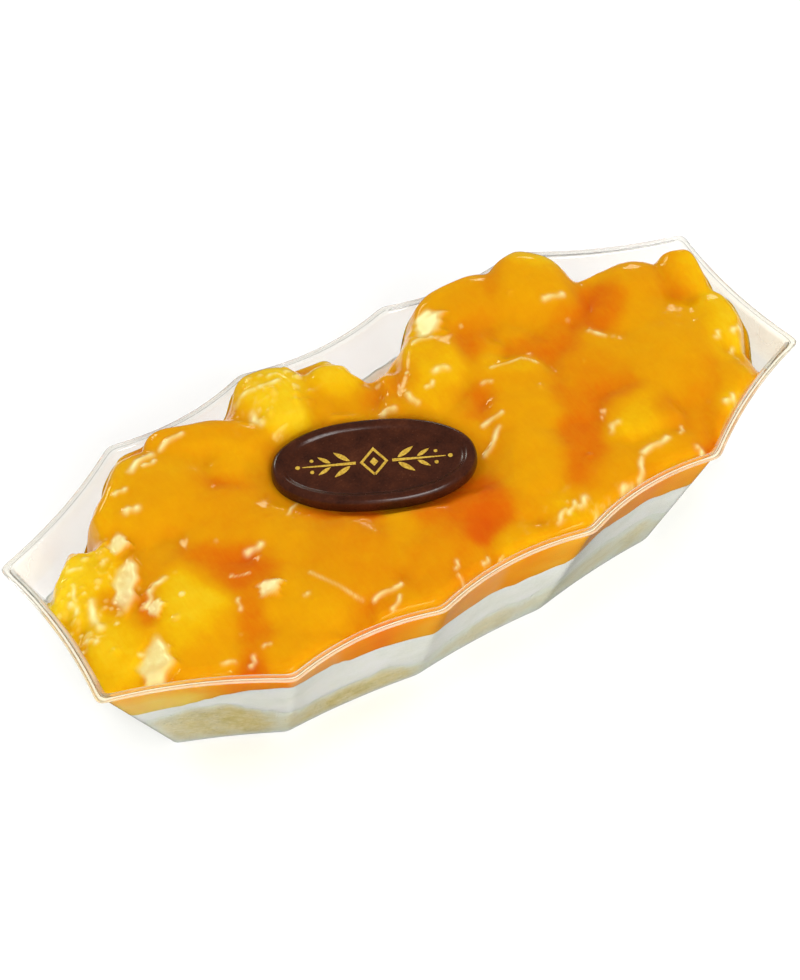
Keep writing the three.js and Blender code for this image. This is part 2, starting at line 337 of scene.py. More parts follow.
# --------------------------------------------------------------- the cup ----
N_CUP = 600
place_cup = np.arange(N_CUP) * 12.0 / N_CUP
SHADE = [  # painted shade: where the clear plastic's colour is greyed, by place round the rim
    (0, 0.12), (0.3, 0.06), (0.8, 0.0), (5.2, 0.0), (5.6, 0.3), (5.9, 0.9), (6.4, 1.0), (6.75, 0.5), (7, 0.2), (7.6, 0.1),
    (8, 0.0), (8.7, 0.05), (9.2, 0.08), (9.6, 0.0), (10.5, 0.0), (11, 0.05), (11.5, 0.1), (12, 0.12)]
ENDS = [  # how much milky haze the inner edge of the lip has at the two ends
    (0, 0.3), (0.8, 0.3), (1.05, 0.05), (1.3, 0.0), (5.2, 0.05), (5.5, 0.3), (6.1, 0.3), (6.5, 0.0), (11.5, 0.0), (12, 0.3)]
PAINTED_WARM_LIGHT = [  # painted light: where the lip's plastic is tinted cream, for the fruit's light and the highlight seen in it
    (0, 0.25), (0.5, 0.7), (1, 1.0), (5.2, 1.0), (5.8, 0.7), (6.2, 0.3), (7, 0.1), (11.5, 0.1), (12, 0.25)]


def edge_table(table, place):
    t = np.asarray(place, float) % 12.0
    xs = np.array([p for p, _ in table])
    ys = np.array([v for _, v in table])
    i = np.clip(np.searchsorted(xs, t, side="right") - 1, 0, len(xs) - 2)
    w = (t - xs[i]) / (xs[i + 1] - xs[i])
    w = w * w * (3 - 2 * w)
    return ys[i] * (1 - w) + ys[i + 1] * w


def build_cup():
    # section from the middle of the underside, up the outside, over the lip
    # and down the inside: (height, inset from the fitted line, haze, painted shade)
    top = HEIGHT
    section = [
        (0.0, 1.3, 0.1, 0), (0.0, 0.75, 0.3, 0), (0.12, 0.35, 0.4, 0), (0.42, 0.08, 0.4, 0), (0.9, 0.02, 0.3, 0), (1.6, 0.02, 0.06, 0)]
    for z in np.linspace(3.0, top - 3.4, 9):
        section.append((z, LIP * z / HEIGHT, 0, 0))
    section += [
        # the last number paints shade: a faint grey ring low on the rolled edge and a darker one across the lip's top
        (top - 2.4, 0.82, 0, 0), (top - 1.5, 0.90, 0, 0), (top - 1.0, 0.95, 0.02, 0.1), (top - 0.84, 0.93, 0.04, 0.2),
        (top - 0.74, 0.86, 0.08, 0.3), (top - 0.70, 0.76, 0.12, 0.2), (top - 0.76, 0.66, 0.08, 0.1), (top - 0.86, 0.52, 0.06, 0),
        (top - 0.88, 0.36, 0.06, 0), (top - 0.80, 0.18, 0.08, 0), (top - 0.62, 0.05, 0.2, 0), (top - 0.42, 0.0, 0.34, 0),
        (top - 0.22, 0.05, 0.32, 0), (top - 0.08, 0.18, 0.32, 0), (top, 0.38, 0.26, 0), (top - 0.04, 0.56, 0.12, 0.3),
        (top - 0.12, 0.70, 0.05, 0.6), (top - 0.17, 0.86, 0.03, 0.8), (top - 0.15, 1.02, 0.03, 0.8), (top - 0.09, 1.16, 0.05, 0.5),
        (top - 0.04, 1.32, 0.08, 0.15), (top - 0.06, 1.48, 0.1, 0), (top - 0.16, 1.62, 0.1, 0), (top - 0.36, 1.71, 0.08, 0),
        (top - 0.8, 1.745, 0.04, 0)]
    for z in np.linspace(top - 2.4, 4.0, 9):
        section.append((z, float(inside_at(z)), 0, 0))
    section += [
        (2.4, float(inside_at(2.4)) + 0.04, 0, 0), (1.75, float(inside_at(1.75)) + 0.22, 0, 0),
        (1.35, float(inside_at(1.35)) + 0.6, 0, 0), (FLOOR, float(inside_at(FLOOR)) + 1.1, 0, 0),
        (FLOOR, float(inside_at(FLOOR)) + 3.0, 0, 0)]
    verts, haze, shade = [], [], []
    for z, off, h, d in section:
        p = inset_line(np.full(N_CUP, z), place_cup, off)
        verts.append(np.column_stack((p, np.full(N_CUP, z))))
        ends = edge_table(ENDS, place_cup) if z > top - 3 and off > 1.3 else 0
        haze.append(np.clip(np.full(N_CUP, h) + ends, 0, 1))
        # painted shade on the wall, by place round the rim
        wall = edge_table(SHADE, place_cup) if 0.9 < z < top - 0.5 and off > 0.5 else 0
        shade.append(np.clip(np.full(N_CUP, d) + wall, 0, 1))
    verts = np.concatenate(verts)
    n = len(verts)
    verts = np.vstack((verts, (0, 0, 0), (0, 0, FLOOR)))
    painted_warm_light = np.append(np.concatenate([edge_table(PAINTED_WARM_LIGHT, place_cup) * float(z > 3) for z, _, _, _ in section]), (0.0, 0.0))
    haze = np.append(np.concatenate(haze), (0.1, 0.05))
    shade = np.append(np.concatenate(shade), (0, 0))
    return new_mesh("cup_shell", verts, ring_faces(len(section), N_CUP, n, n + 1), (("haze", haze), ("shade", shade), ("painted_warm_light", painted_warm_light)))


def clear_plastic():
    g = Nodes("clear_plastic")
    v = g.coords()
    cloud = g.noise(v, 0.35, 2.0, 0.5)
    fine = g.noise(v, 2.2, 3.0, 0.6)
    haze = g.attr("haze")
    rough = g.math("ADD", g.range(cloud, 0.3, 0.75, 0.02, 0.07), g.math("MULTIPLY", haze, 0.12))
    bump = g.bump(g.noise(v, 0.12, 1.0, 0.4), 0.12, 0.0006)
    color = g.ramp(fine, [(0.35, (0.975, 0.965, 0.955)), (0.7, (0.995, 0.988, 0.978))])
    # painted shade: the plastic is tinted grey where the shade attribute is set
    color = g.mix(g.attr("shade"), color, (0.69, 0.67, 0.61))
    # painted light: the milky part of the lip is tinted cream beside the fruit
    color = g.mix(g.math("MULTIPLY", g.attr("painted_warm_light"), g.range(haze, 0.0, 0.07, 0.0, 0.92)), color, (1.0, 0.9, 0.64))
    clear = g.math("SUBTRACT", 1.0, g.math("MULTIPLY", haze, g.range(cloud, 0.3, 0.7, 0.85, 1.15)))
    p = g.principled(Base_Color=color, Roughness=rough, Normal=bump, Transmission_Weight=clear)
    p.inputs["IOR"].default_value = 1.45
    lit = g.add("ShaderNodeBsdfTransparent")
    lit.inputs["Color"].default_value = (0.97, 0.97, 0.97, 1)
    path = g.add("ShaderNodeLightPath")
    m = g.add("ShaderNodeMixShader")
    g.put(m.inputs[0], path.outputs["Is Shadow Ray"])
    g.tree.links.new(p.outputs[0], m.inputs[1])
    g.tree.links.new(lit.outputs[0], m.inputs[2])
    return g.finish(m.outputs[0])


cup = build_cup()
cup.data.materials.append(clear_plastic())
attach(cup, "root")
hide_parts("cup")

# -------------------------------------------------------- layer boundaries --
# Heights of the boundaries against the wall, by place round the rim (whole
# numbers are rim corners, from the far left end corner through the near side).
CAKE_EDGE = [
    (0, 15.5), (0.9, 16.0), (1.05, 16.5), (1.2, 18.2), (1.4, 19.6), (1.55, 20.0), (1.65, 18.8), (1.72, 16.2), (1.85, 14.4),
    (2.0, 13.0), (2.1, 11.4), (2.3, 10.4), (2.5, 10.4), (2.6, 9.8), (2.75, 10.8), (2.85, 9.2), (2.97, 7.8), (3.1, 9.0),
    (3.3, 10.0), (3.5, 11.4), (3.65, 11.2), (3.75, 9.8), (3.9, 11.4), (4.1, 12.6), (4.4, 14.0), (4.8, 14.4), (5.0, 12.5),
    (5.5, 12.0), (6, 12.0), (7, 12.5), (8, 11.0), (9, 10.5), (10, 10.5), (11, 13.5), (12, 15.5)]
CREAM_EDGE = [
    (0, 24.4), (0.3, 22.8), (0.7, 21.6), (0.95, 21.0), (1.05, 20.8), (1.3, 21.2), (1.4, 22.0), (1.5, 23.4), (1.6, 25.0),
    (1.8, 26.4), (1.95, 27.3), (2.03, 26.8), (2.1, 26.0), (2.3, 25.2), (2.36, 24.2), (2.45, 22.6), (2.6, 22.2), (2.9, 21.6),
    (3.05, 20.6), (3.09, 20.8), (3.3, 20.6), (3.45, 21.2), (3.55, 20.8), (3.65, 19.8), (3.8, 19.8), (3.95, 20.6), (4.02, 21.6),
    (4.08, 22.0), (4.25, 24.0), (4.35, 23.2), (4.5, 22.8), (4.65, 24.0), (4.8, 22.8), (4.97, 22.2), (5.1, 22.6), (5.5, 22.6),
    (5.8, 23.4), (6, 24.2), (6.4, 23.8), (7, 23.8), (7.6, 24.4), (8, 23.8), (9, 24.4), (9.4, 24.2), (10, 23.2), (11, 23.6),
    (11.5, 24.6), (12, 24.4)]
MILK = [  # how far the milk hides the crumb at the wall
    (0, 0.6), (0.9, 0.8), (1.0, 0.7), (1.12, 0.25), (1.3, 0.08), (1.6, 0.05), (1.8, 0.15), (1.97, 0.5), (2.05, 0.3),
    (2.2, 0.08), (2.5, 0.0), (2.8, 0.05), (2.95, 0.3), (3.05, 0.65), (3.3, 0.5), (3.45, 0.3), (3.65, 0.3), (3.8, 0.6),
    (4.0, 0.72), (4.3, 0.55), (4.8, 0.55), (5.0, 0.8), (6, 0.5), (9, 0.4), (12, 0.6)]
WALL_TONE = [  # the glaze against the wall: yellow fruit high, red-orange glaze low
    (0, 0.6), (0.9, 0.9), (1.05, 1.0), (1.38, 0.98), (1.55, 0.45), (1.7, 0.1), (1.95, 0.15), (2.1, 0.4), (2.35, 0.35),
    (2.5, 0.15), (2.65, 0.08), (2.8, 0.35), (3.0, 0.5), (3.3, 0.35), (3.6, 0.35), (3.8, 0.5), (4.0, 0.5), (4.3, 0.3),
    (4.6, 0.2), (4.85, 0.4), (5, 0.4), (5.5, 0.35), (6, 0.5), (8, 0.4), (10, 0.45), (12, 0.6)]
SMEAR = [  # cream smeared thinly between the glaze and the wall
    (0, 0.2), (0.9, 0.3), (1.0, 0.4), (1.2, 0.3), (1.45, 0.12), (1.6, 0.0), (1.96, 0.0), (2.03, 0.75), (2.3, 0.6),
    (2.4, 0.08), (2.5, 0.0), (3.05, 0.0), (3.1, 0.65), (3.45, 0.5), (3.56, 0.0), (4.01, 0.0), (4.06, 0.85), (4.28, 0.7),
    (4.4, 0.4), (4.6, 0.35), (4.75, 0.15), (4.97, 0.1), (5.04, 0.6), (5.4, 0.3), (6, 0.2), (12, 0.2)]


def cake_edge(place):
    return (edge_table(CAKE_EDGE, place) + 0.5 * noise_ring(place, 90, 3.1)
            + 0.4 * noise_ring(place, 210, 5.7) + 0.2 * noise_ring(place, 420, 1.9))


def cream_edge(place):
    return edge_table(CREAM_EDGE, place) + 0.22 * noise_ring(place, 60, 8.3) + 0.12 * noise_ring(place, 190, 2.2)


# --------------------------------------------------------- sponge and cream -
N_SIDE = 720
place_side = np.arange(N_SIDE) * 12.0 / N_SIDE
BURY = 0.45  # how far a filling reaches into the wall


def side_steps(rows):
    return np.concatenate(((0, 0.006), np.linspace(0, 1, rows)[1:-1], (0.994, 1)))


def side_rings(low, high, rows, bury):
    """Rings up the wall between two edge heights."""
    rings = []
    for t in side_steps(rows):
        z = low + (high - low) * t
        p = inset_line(z, place_side, inside_at(z) - bury)
        rings.append(np.column_stack((p, z)))
    return rings


def cap_rings(edge, height, shares):
    rings = []
    for s in shares:
        x, y = edge[:, 0] * s, edge[:, 1] * s
        rings.append(np.column_stack((x, y, height(x, y, s, edge[:, 2]))))
    return rings


def build_sponge():
    foot = 0.3
    high = cake_edge(place_side)
    ring0 = np.column_stack((inset_line(np.full(N_SIDE, foot), place_side, 1.5), np.full(N_SIDE, foot)))
    ring1 = np.column_stack((inset_line(np.full(N_SIDE, 0.45), place_side, 0.85), np.full(N_SIDE, 0.45)))
    low = 0.9
    sides = side_rings(np.full(N_SIDE, low), high, 20, BURY)
    sides += [np.column_stack((inset_line(high + up, place_side, inside_at(high + up) - BURY + back), high + up))
              for up, back in ((0.3, 0.14), (0.7, 0.3))]
    milk = [np.full(N_SIDE, 1.0)] * 2
    for t in side_steps(20):
        z = low + (high - low) * t
        below = high - z
        m = edge_table(MILK, place_side) + 0.12 * noise_ring(place_side, 70, 2.0) + 0.14 * noise2(place_side * 9, z * 0.35, 3.0)
        # whiter just under the cream, and whitened towards the foot: painted light for the bright floor seen through
        # the base
        m = np.maximum(m, 0.0) + 0.95 * np.exp(-(below / 2.0) ** 1.3) + 0.6 * np.exp(-(z - 0.9) / 1.7)
        milk.append(np.clip(m, 0, 1))
    milk += [np.full(N_SIDE, 1.0)] * 10
    shares = [0.985, 0.955, 0.9, 0.82, 0.7, 0.55, 0.38, 0.2]

    def top(x, y, s, z):
        flat = 10.2 + 7.4 * (1 - smoothstep(-52, -22, x)) + 2.2 * smoothstep(30, 55, x)
        crumb = 0.5 * noise2(x * 0.5, y * 0.5, 1.0) + 0.3 * noise2(x * 1.3, y * 1.3, 4.0)
        return z + (flat - z) * smoothstep(1.0, 0.8, s) + crumb * smoothstep(1.0, 0.97, s)

    caps = cap_rings(sides[-1], top, shares)
    rings = [ring0, ring1] + sides + caps
    verts = np.concatenate(rings)
    n = len(verts)
    verts = np.vstack((verts, (0, 0, foot), (0, 0, 10.6)))
    milk = np.append(np.concatenate(milk), (1.0, 1.0))
    return new_mesh("sponge", verts, ring_faces(len(rings), N_SIDE, n, n + 1), (("milk", milk),))


def build_cream():
    low = cake_edge(place_side) - 0.05
    high = cream_edge(place_side)
    shares = [0.985, 0.97, 0.955, 0.94, 0.92, 0.90, 0.88, 0.86, 0.835, 0.81, 0.78, 0.75, 0.72, 0.68, 0.64, 0.6, 0.5, 0.4, 0.25, 0.12]

    def under(x, y, s, z):
        flat = 10.9 + 7.4 * (1 - smoothstep(-52, -22, x)) + 2.2 * smoothstep(30, 55, x)
        return z + (flat - z) * smoothstep(1.0, 0.8, s)

    def over(x, y, s, z):
        flat = 23.2 + 0.4 * noise2(x * 0.15, y * 0.15, 6.0) + 0.15 * noise2(x * 0.6, y * 0.6, 16.0)
        return z + (flat - z) * smoothstep(1.0, 0.85, s)

    sides = side_rings(low, high, 12, BURY + 0.03)
    below = cap_rings(sides[0], under, shares)[::-1]
    above = cap_rings(sides[-1], over, shares)
    rings = below + sides + above
    verts = np.concatenate(rings)
    n = len(verts)
    verts = np.vstack((verts, (0, 0, 11.0), (0, 0, 22.4)))
    return new_mesh("cream", verts, ring_faces(len(rings), N_SIDE, n, n + 1))


def sponge_material():
    g = Nodes("soaked_sponge")
    v = g.coords()
    soft = g.noise(v, 0.22, 3.0, 0.55)
    crumb = g.noise(v, 1.1, 5.0, 0.68, 0.3)
    pores = g.add("ShaderNodeTexVoronoi", feature="F1", distance="EUCLIDEAN")
    g.tree.links.new(v, pores.inputs["Vector"])
    pores.inputs["Scale"].default_value = 0.9
    hole = g.range(pores.outputs["Distance"], 0.12, 0.36, 1.0, 0.0, True)
    hole = g.math("MULTIPLY", hole, g.range(g.noise(v, 0.5, 2.0), 0.42, 0.62))
    base = g.ramp(g.math("ADD", g.math("MULTIPLY", soft, 0.5), g.math("MULTIPLY", crumb, 0.5)), [
        (0.30, srgb(190, 173, 100)), (0.45, srgb(217, 199, 128)), (0.58, srgb(233, 217, 157)), (0.72, srgb(247, 235, 192))])
    milky = g.math("ADD", g.attr("milk"), g.math("MULTIPLY", g.math("SUBTRACT", g.noise(v, 0.5, 3.0, 0.6), 0.5), 0.5), True)
    # painted shade: the pores are darkened
    color = g.mix(g.math("MULTIPLY", hole, 0.45), base, srgb(172, 158, 84))
    color = g.mix(milky, color, srgb(238, 242, 226))
    height = g.math("SUBTRACT", g.math("MULTIPLY", crumb, 0.6), g.math("MULTIPLY", hole, 0.7))
    p = g.principled(Base_Color=color, Roughness=g.range(crumb, 0.3, 0.7, 0.55, 0.85),
                     Normal=g.bump(height, 0.6, 0.0008))
    p.inputs["Subsurface Weight"].default_value = 0.35
    p.inputs["Subsurface Radius"].default_value = (1.0, 0.75, 0.4)
    p.inputs["Subsurface Scale"].default_value = 0.0015
    p.inputs["Specular IOR Level"].default_value = 0.3
    return g.finish(p.outputs[0])


def cream_material():
    g = Nodes("white_cream")
    v = g.coords()
    soft = g.noise(v, 0.18, 3.0, 0.55)
    fine = g.noise(v, 1.6, 4.0, 0.6)
    color = g.ramp(g.math("ADD", g.math("MULTIPLY", soft, 0.65), g.math("MULTIPLY", fine, 0.35)), [
        (0.32, srgb(234, 237, 224)), (0.5, srgb(245, 247, 236)), (0.68, srgb(250, 251, 244))])
    bubbles = g.add("ShaderNodeTexVoronoi", feature="F1", distance="EUCLIDEAN")
    g.tree.links.new(v, bubbles.inputs["Vector"])
    bubbles.inputs["Scale"].default_value = 0.7
    pit = g.range(bubbles.outputs["Distance"], 0.06, 0.16, 1.0, 0.0, True)
    # painted shade: the bubble pits are greyed
    color = g.mix(g.math("MULTIPLY", pit, 0.25), color, srgb(206, 204, 186))
    p = g.principled(Base_Color=color, Roughness=g.range(fine, 0.3, 0.7, 0.35, 0.55),
                     Normal=g.bump(g.math("SUBTRACT", soft, g.math("MULTIPLY", pit, 0.3)), 0.35, 0.0006))
    p.inputs["Subsurface Weight"].default_value = 0.5
    p.inputs["Subsurface Radius"].default_value = (1.0, 0.9, 0.75)
    p.inputs["Subsurface Scale"].default_value = 0.002
    p.inputs["Specular IOR Level"].default_value = 0.35
    return g.finish(p.outputs[0])


sponge = build_sponge()
sponge.data.materials.append(sponge_material())
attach(sponge, "root")
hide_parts("cake_layer")

cream = build_cream()
cream.data.materials.append(cream_material())
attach(cream, "root")
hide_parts("cream_layer")

# -------------------------------------------------------- mango and glaze ---
GLAZE_AT_WALL = [
    (0, 31.0), (0.3, 31.6), (1, 32.3), (5, 32.3), (5.6, 31.8), (6, 31.0), (6.5, 31.6), (7, 31.8), (8, 31.6),
    (9, 31.6), (10, 32.2), (10.3, 31.0), (10.6, 31.8), (11, 32.0), (11.5, 31.4), (12, 31.0)]
# the fruit doesn't reach the wall everywhere: the line on which it ends
OUTLINE = np.array([
    (-80, -45), (-80, 4), (-69.4, 6.8), (-67.9, 9.2), (-64.1, 12.3), (-61.4, 14.0), (-59.9, 12.9), (-58.4, 12.2), (-56.6, 13.6),
    (-56.2, 15.6), (-55.8, 17.6), (-54.4, 18.4), (-52.8, 20.2), (-49.4, 23.2), (-46.1, 26.8), (-42.9, 31.0), (-38, 36), (-29, 37),
    (-25.5, 31), (-23.2, 26.4), (-20.8, 28.2), (-19.4, 30.4), (-17.8, 33), (-15, 38), (-8, 40), (0, 36), (2.0, 30), (1.8, 24), (1.4, 20.6), (3.5, 19.0),
    (6.5, 19.3), (11.0, 21.8), (15.6, 25.0), (19.5, 31), (24, 38), (42, 38), (48.8, 30), (48.2, 22), (48.8, 17.6),
    (51.5, 17.4), (53.9, 17.5), (56.9, 17.4), (63.5, 15.4), (66.0, 13.0), (67.4, 12.2), (68.8, 11.4), (69.6, 9.8), (69.6, 7.4), (69.2, 4.8), (68.3, 2.4), (69.3, -0.2), (69.4, -2.8), (68.7, -5.6), (67.9, -7.8),
    (66.5, -9.8), (64.4, -13.0), (64.4, -15.6), (64.6, -18.2), (69, -22), (66, -45)], float)
# centre x y z, half sizes along, across, up, yaw, squareness: the same as in the CAD
CHUNKS = [
    (-49.1, -9.7, 31.0, 8.4, 11.0, 5.6, -21, 2.3), (50.8, -7.7, 31.0, 9.7, 12.4, 6.6, -33, 2.4),
    (39.2, 19.2, 32.0, 8.0, 9.4, 7.0, -33, 2.6), (26.0, 22.6, 32.0, 9.0, 6.4, 6.4, 0, 2.6),
    (-43.6, 16.0, 31.5, 10.4, 10.6, 5.5, -33, 2.8), (-14.4, 24.6, 32.0, 7.6, 5.6, 6.4, -15, 2.4),
    (-3.4, 20.6, 32.2, 4.6, 4.0, 4.8, -33, 2.4), (-27.0, 18.6, 32.0, 9.6, 4.6, 5.6, -33, 2.6),
    (-63.6, 6.0, 31.0, 3.8, 5.6, 4.2, -12, 2.2), (-62.6, -7.4, 31.0, 5.2, 7.2, 4.0, -40, 2.4),
    (37.7, -16.5, 31.5, 5.8, 5.6, 5.7, -12, 3.6), (66.4, 7.6, 32.0, 4.6, 6.4, 6.0, -20, 2.5),
    (64.2, -5.2, 31.5, 5.0, 7.0, 5.6, -33, 2.6), (14.6, 14.6, 32.0, 6.3, 8.6, 5.6, -33, 2.4),
    (23.6, -0.6, 32.0, 6.6, 5.4, 4.8, -33, 3.0), (17.7, -12.9, 31.5, 5.6, 6.2, 4.7, -33, 2.3),
    (-21.6, -14.0, 31.0, 7.2, 8.2, 4.8, -33, 2.6), (-34.6, -17.2, 31.0, 7.0, 5.6, 4.4, -20, 2.4),
    (-30.4, -3.4, 31.0, 5.6, 5.8, 4.6, -33, 2.5), (-6.8, -21.6, 31.0, 6.0, 7.0, 4.6, -33, 2.5),
    (56.4, 10.6, 32.0, 6.4, 5.0, 5.2, -20, 2.5), (20.6, -24.6, 31.0, 6.0, 4.6, 3.8, 0, 2.4)]
# lower lumps of fruit between them: centre x y z, half sizes, yaw
LUMPS = [
    (-55.0, 15.0, 31.4, 2.3, 1.9, 3.4, 73), (-63.1, 9.5, 31.4, 2.7, 2.2, 3.2, 74), (-67.2, 5.6, 31.2, 3.3, 2.0, 3.0, 66),
    (-61.0, 6.1, 31.8, 2.9, 2.0, 3.0, 67), (-65.5, 0.9, 31.6, 3.1, 2.0, 2.8, 66), (-56.2, 9.2, 32.4, 2.1, 1.9, 3.0, -72),
    (-37.2, 2.7, 33.6, 7.8, 6.8, 2.6, 73), (-30.7, -7.4, 33.1, 6.8, 5.3, 2.8, 64), (-34.3, -19.6, 32.6, 7.4, 6.0, 3.0, -40),
    (-23.6, -16.9, 33.2, 8.4, 6.9, 2.9, 62), (-12.5, -16.3, 33.2, 6.3, 3.1, 2.6, 57), (-9.5, -26.2, 32.8, 8.0, 5.8, 2.9, 57),
    (-15.5, 18.2, 35.4, 5.4, 4.6, 2.8, 68), (-32.3, 21.9, 34.6, 7.8, 3.1, 3.0, -36), (11.1, 10.8, 34.4, 9.0, 5.7, 3.4, 57),
    (23.2, 3.7, 34.0, 6.1, 5.0, 2.9, -35), (21.4, -5.1, 34.1, 6.4, 5.4, 2.8, -34), (15.9, -16.1, 33.5, 7.1, 5.1, 2.8, 54),
    (15.9, -28.5, 32.4, 6.2, 5.5, 2.8, -31), (25.8, -26.2, 32.9, 6.6, 5.2, 2.6, 51), (53.8, -23.2, 32.4, 9.4, 4.3, 3.2, 51),
    (-20.0, -29.2, 32.5, 6.0, 4.3, 2.7, -36), (-54.4, -18.9, 32.3, 6.6, 3.8, 2.5, -37), (-40.0, -27.1, 32.3, 7.3, 4.2, 2.6, -36),
    (4.8, -29.5, 32.4, 7.5, 4.0, 2.5, -35), (36.9, -26.9, 32.8, 5.6, 4.8, 2.6, -29), (39.1, -2.5, 33.5, 7.6, 6.5, 2.8, 51),
    (51.7, 7.0, 34.0, 6.9, 6.6, 2.8, 37), (28.9, -7.4, 33.6, 4.9, 4.3, 2.4, 52),
]
# how yellow the fruit is (1) or how orange the glaze (0): centre x y, half sizes, yaw, tone
TONES = [
    (-65.2, 4.1, 6.6, 5.0, 70, 1), (-59.0, 6.6, 3.2, 2.7, 77, 0.9), (-66.8, -11.6, 6.8, 4.3, 65, 0.92), (-67.8, -17.8, 3.3, 2.1, -38, 0.85),
    (-50.4, -10.0, 6.9, 4.3, 63, 1), (-56.6, -14.8, 3.9, 3.6, 89, 0.8), (-51.2, -18.6, 5.1, 4.3, 69, 0.55), (-45.6, 13.0, 9.3, 7.6, 71, 0.55),
    (-45.6, 20.9, 4.7, 3.1, 65, 0.6), (-39.3, 18.8, 3.9, 2.1, -37, 0.72), (-30.9, 15.8, 6.0, 2.1, -35, 0.62), (-31.6, 23.3, 10.7, 1.9, -35, 0.38),
    (-35.8, 4.2, 6.0, 5.4, -56, 0.42), (-30.2, -6.6, 5.7, 4.6, 65, 0.52), (-35.6, -19.5, 6.0, 4.7, -39, 0.64), (-30.0, -17.5, 4.1, 3.1, -38, 0.5),
    (-23.2, -16.9, 6.3, 6.0, 89, 0.36), (-12.5, -16.1, 6.1, 2.2, 57, 0.5), (-8.4, -23.1, 6.3, 3.4, 57, 0.36), (-13.6, -24.8, 5.3, 3.0, 57, 0.32),
    # the entry at -1.5, 29.8 is partly the glaze's own yellow and partly painted light: it lightens a strip of glaze by
    # the far wall that lies in shade
    (-14.6, 21.3, 6.5, 5.7, 71, 0.97), (-15.8, 28.2, 4.5, 3.2, 63, 0.72), (-20.8, 24.1, 4.9, 1.8, 60, 0.6), (-3.4, 19.9, 4.1, 3.9, -84, 0.85), (-1.5, 29.8, 5.0, 2.2, -34, 0.8),
    (-7.3, 15.3, 4.3, 2.9, -37, 0.48), (2.9, 13.0, 4.5, 3.9, 64, 0.36), (12.3, 9.5, 6.0, 4.7, 58, 0.78), (14.6, 17.8, 5.1, 3.6, 58, 0.62),
    (10.8, 4.5, 3.6, 2.5, -36, 0.62), (26.0, 25.0, 5.8, 4.4, 57, 0.48), (25.7, 19.5, 4.7, 3.7, 57, 0.36), (36.9, 16.4, 9.0, 5.2, 55, 0.56),
    (43.7, 24.4, 4.1, 2.7, -35, 0.82), (23.9, 5.7, 5.4, 2.3, -35, 0.72), (21.5, -4.1, 5.7, 4.2, -35, 0.56), (16.4, -15.3, 6.4, 4.0, 55, 0.58),
    (35.6, -18.7, 5.3, 4.9, 44, 0.76), (49.5, -5.1, 8.7, 7.6, 47, 0.6), (47.0, -13.5, 4.6, 4.4, 14, 0.52), (57.9, 9.2, 7.8, 3.2, -35, 0.42),
    (63.6, -2.2, 4.7, 3.7, 49, 0.76), (67.0, 6.7, 3.2, 2.6, 49, 0.66), (61.9, -9.7, 5.7, 2.5, 51, 0.82), (51.6, -15.8, 5.0, 3.2, 51, 0.32),
    (57.9, -18.6, 3.5, 3.2, 38, 0.6), (53.5, -23.4, 3.5, 1.8, 51, 0.8), (46.0, -23.0, 4.9, 3.9, 48, 0.36), (16.7, -28.0, 4.6, 3.2, -34, 0.78),
    (5.1, -29.6, 5.8, 2.9, -35, 0.68), (-4.0, -30.2, 4.1, 2.9, -35, 0.46), (24.8, -26.6, 4.2, 4.1, 23, 0.48), (28.8, -28.5, 4.2, 3.5, 50, 0.42),
    (36.2, -27.9, 3.8, 3.3, -28, 0.52), (-20.1, -30.1, 5.7, 2.8, -35, 0.5), (-27.5, -29.8, 4.7, 2.8, -36, 0.44), (-40.1, -27.5, 5.3, 4.2, -39, 0.5),
    (-34.8, -29.9, 4.6, 2.5, -36, 0.46), (-53.3, -22.2, 4.0, 2.5, -37, 0.46), (-40.4, -7.1, 6.1, 4.0, -37, 0.02), (-41.9, -1.8, 4.8, 2.0, -36, 0.12),
    (-39.2, -13.8, 2.2, 2.0, 76, 0.15), (-45.2, -20.6, 6.8, 2.2, 59, 0.1), (-49.0, -25.7, 3.0, 2.1, -38, 0.06), (-61.1, -1.3, 2.4, 1.9, -46, 0.12),
    (-56.7, -5.9, 2.6, 1.2, 62, 0.12), (-33.0, 9.8, 3.8, 1.6, -36, 0.2), (-0.2, -18.5, 6.9, 5.2, 57, -0.12), (-1.6, -22.8, 2.5, 1.7, 56, -0.35),
    (-4.7, -16.0, 5.5, 2.7, -35, 0), (-16.9, -8.0, 3.4, 1.6, -35, -0.22), (-21.0, -4.7, 4.5, 1.6, -35, 0.06), (-7.7, -28.1, 3.5, 2.7, 57, 0.14),
    (-23.3, -27.4, 3.0, 1.9, -36, 0.14), (-19.6, -11.2, 4.5, 2.7, -36, 0.26), (23.3, -18.9, 9.0, 3.5, 54, 0.06), (33.3, -10.5, 4.9, 3.2, 53, 0.16),
    (27.7, -6.1, 2.2, 2.0, 52, 0.12), (32.6, 6.4, 4.4, 2.6, -35, 0.1), (38.0, 7.7, 4.7, 2.9, 54, 0.16), (47.3, 8.2, 4.7, 3.3, 53, 0.04),
    (37.3, -4.3, 5.7, 3.3, -34, 0.28), (38.1, -10.0, 3.2, 2.5, -33, 0.14), (14.7, 1.8, 3.6, 3.0, -36, 0.12), (22.0, 14.1, 4.6, 2.4, 56, 0.14),
    (6.3, 12.8, 2.5, 2.5, -71, 0.18), (33.9, 25.0, 4.8, 2.0, 56, 0.26), (41.7, -19.4, 3.4, 1.8, 52, 0.18), (43.6, -29.6, 2.8, 2.1, -31, 0.22),
]
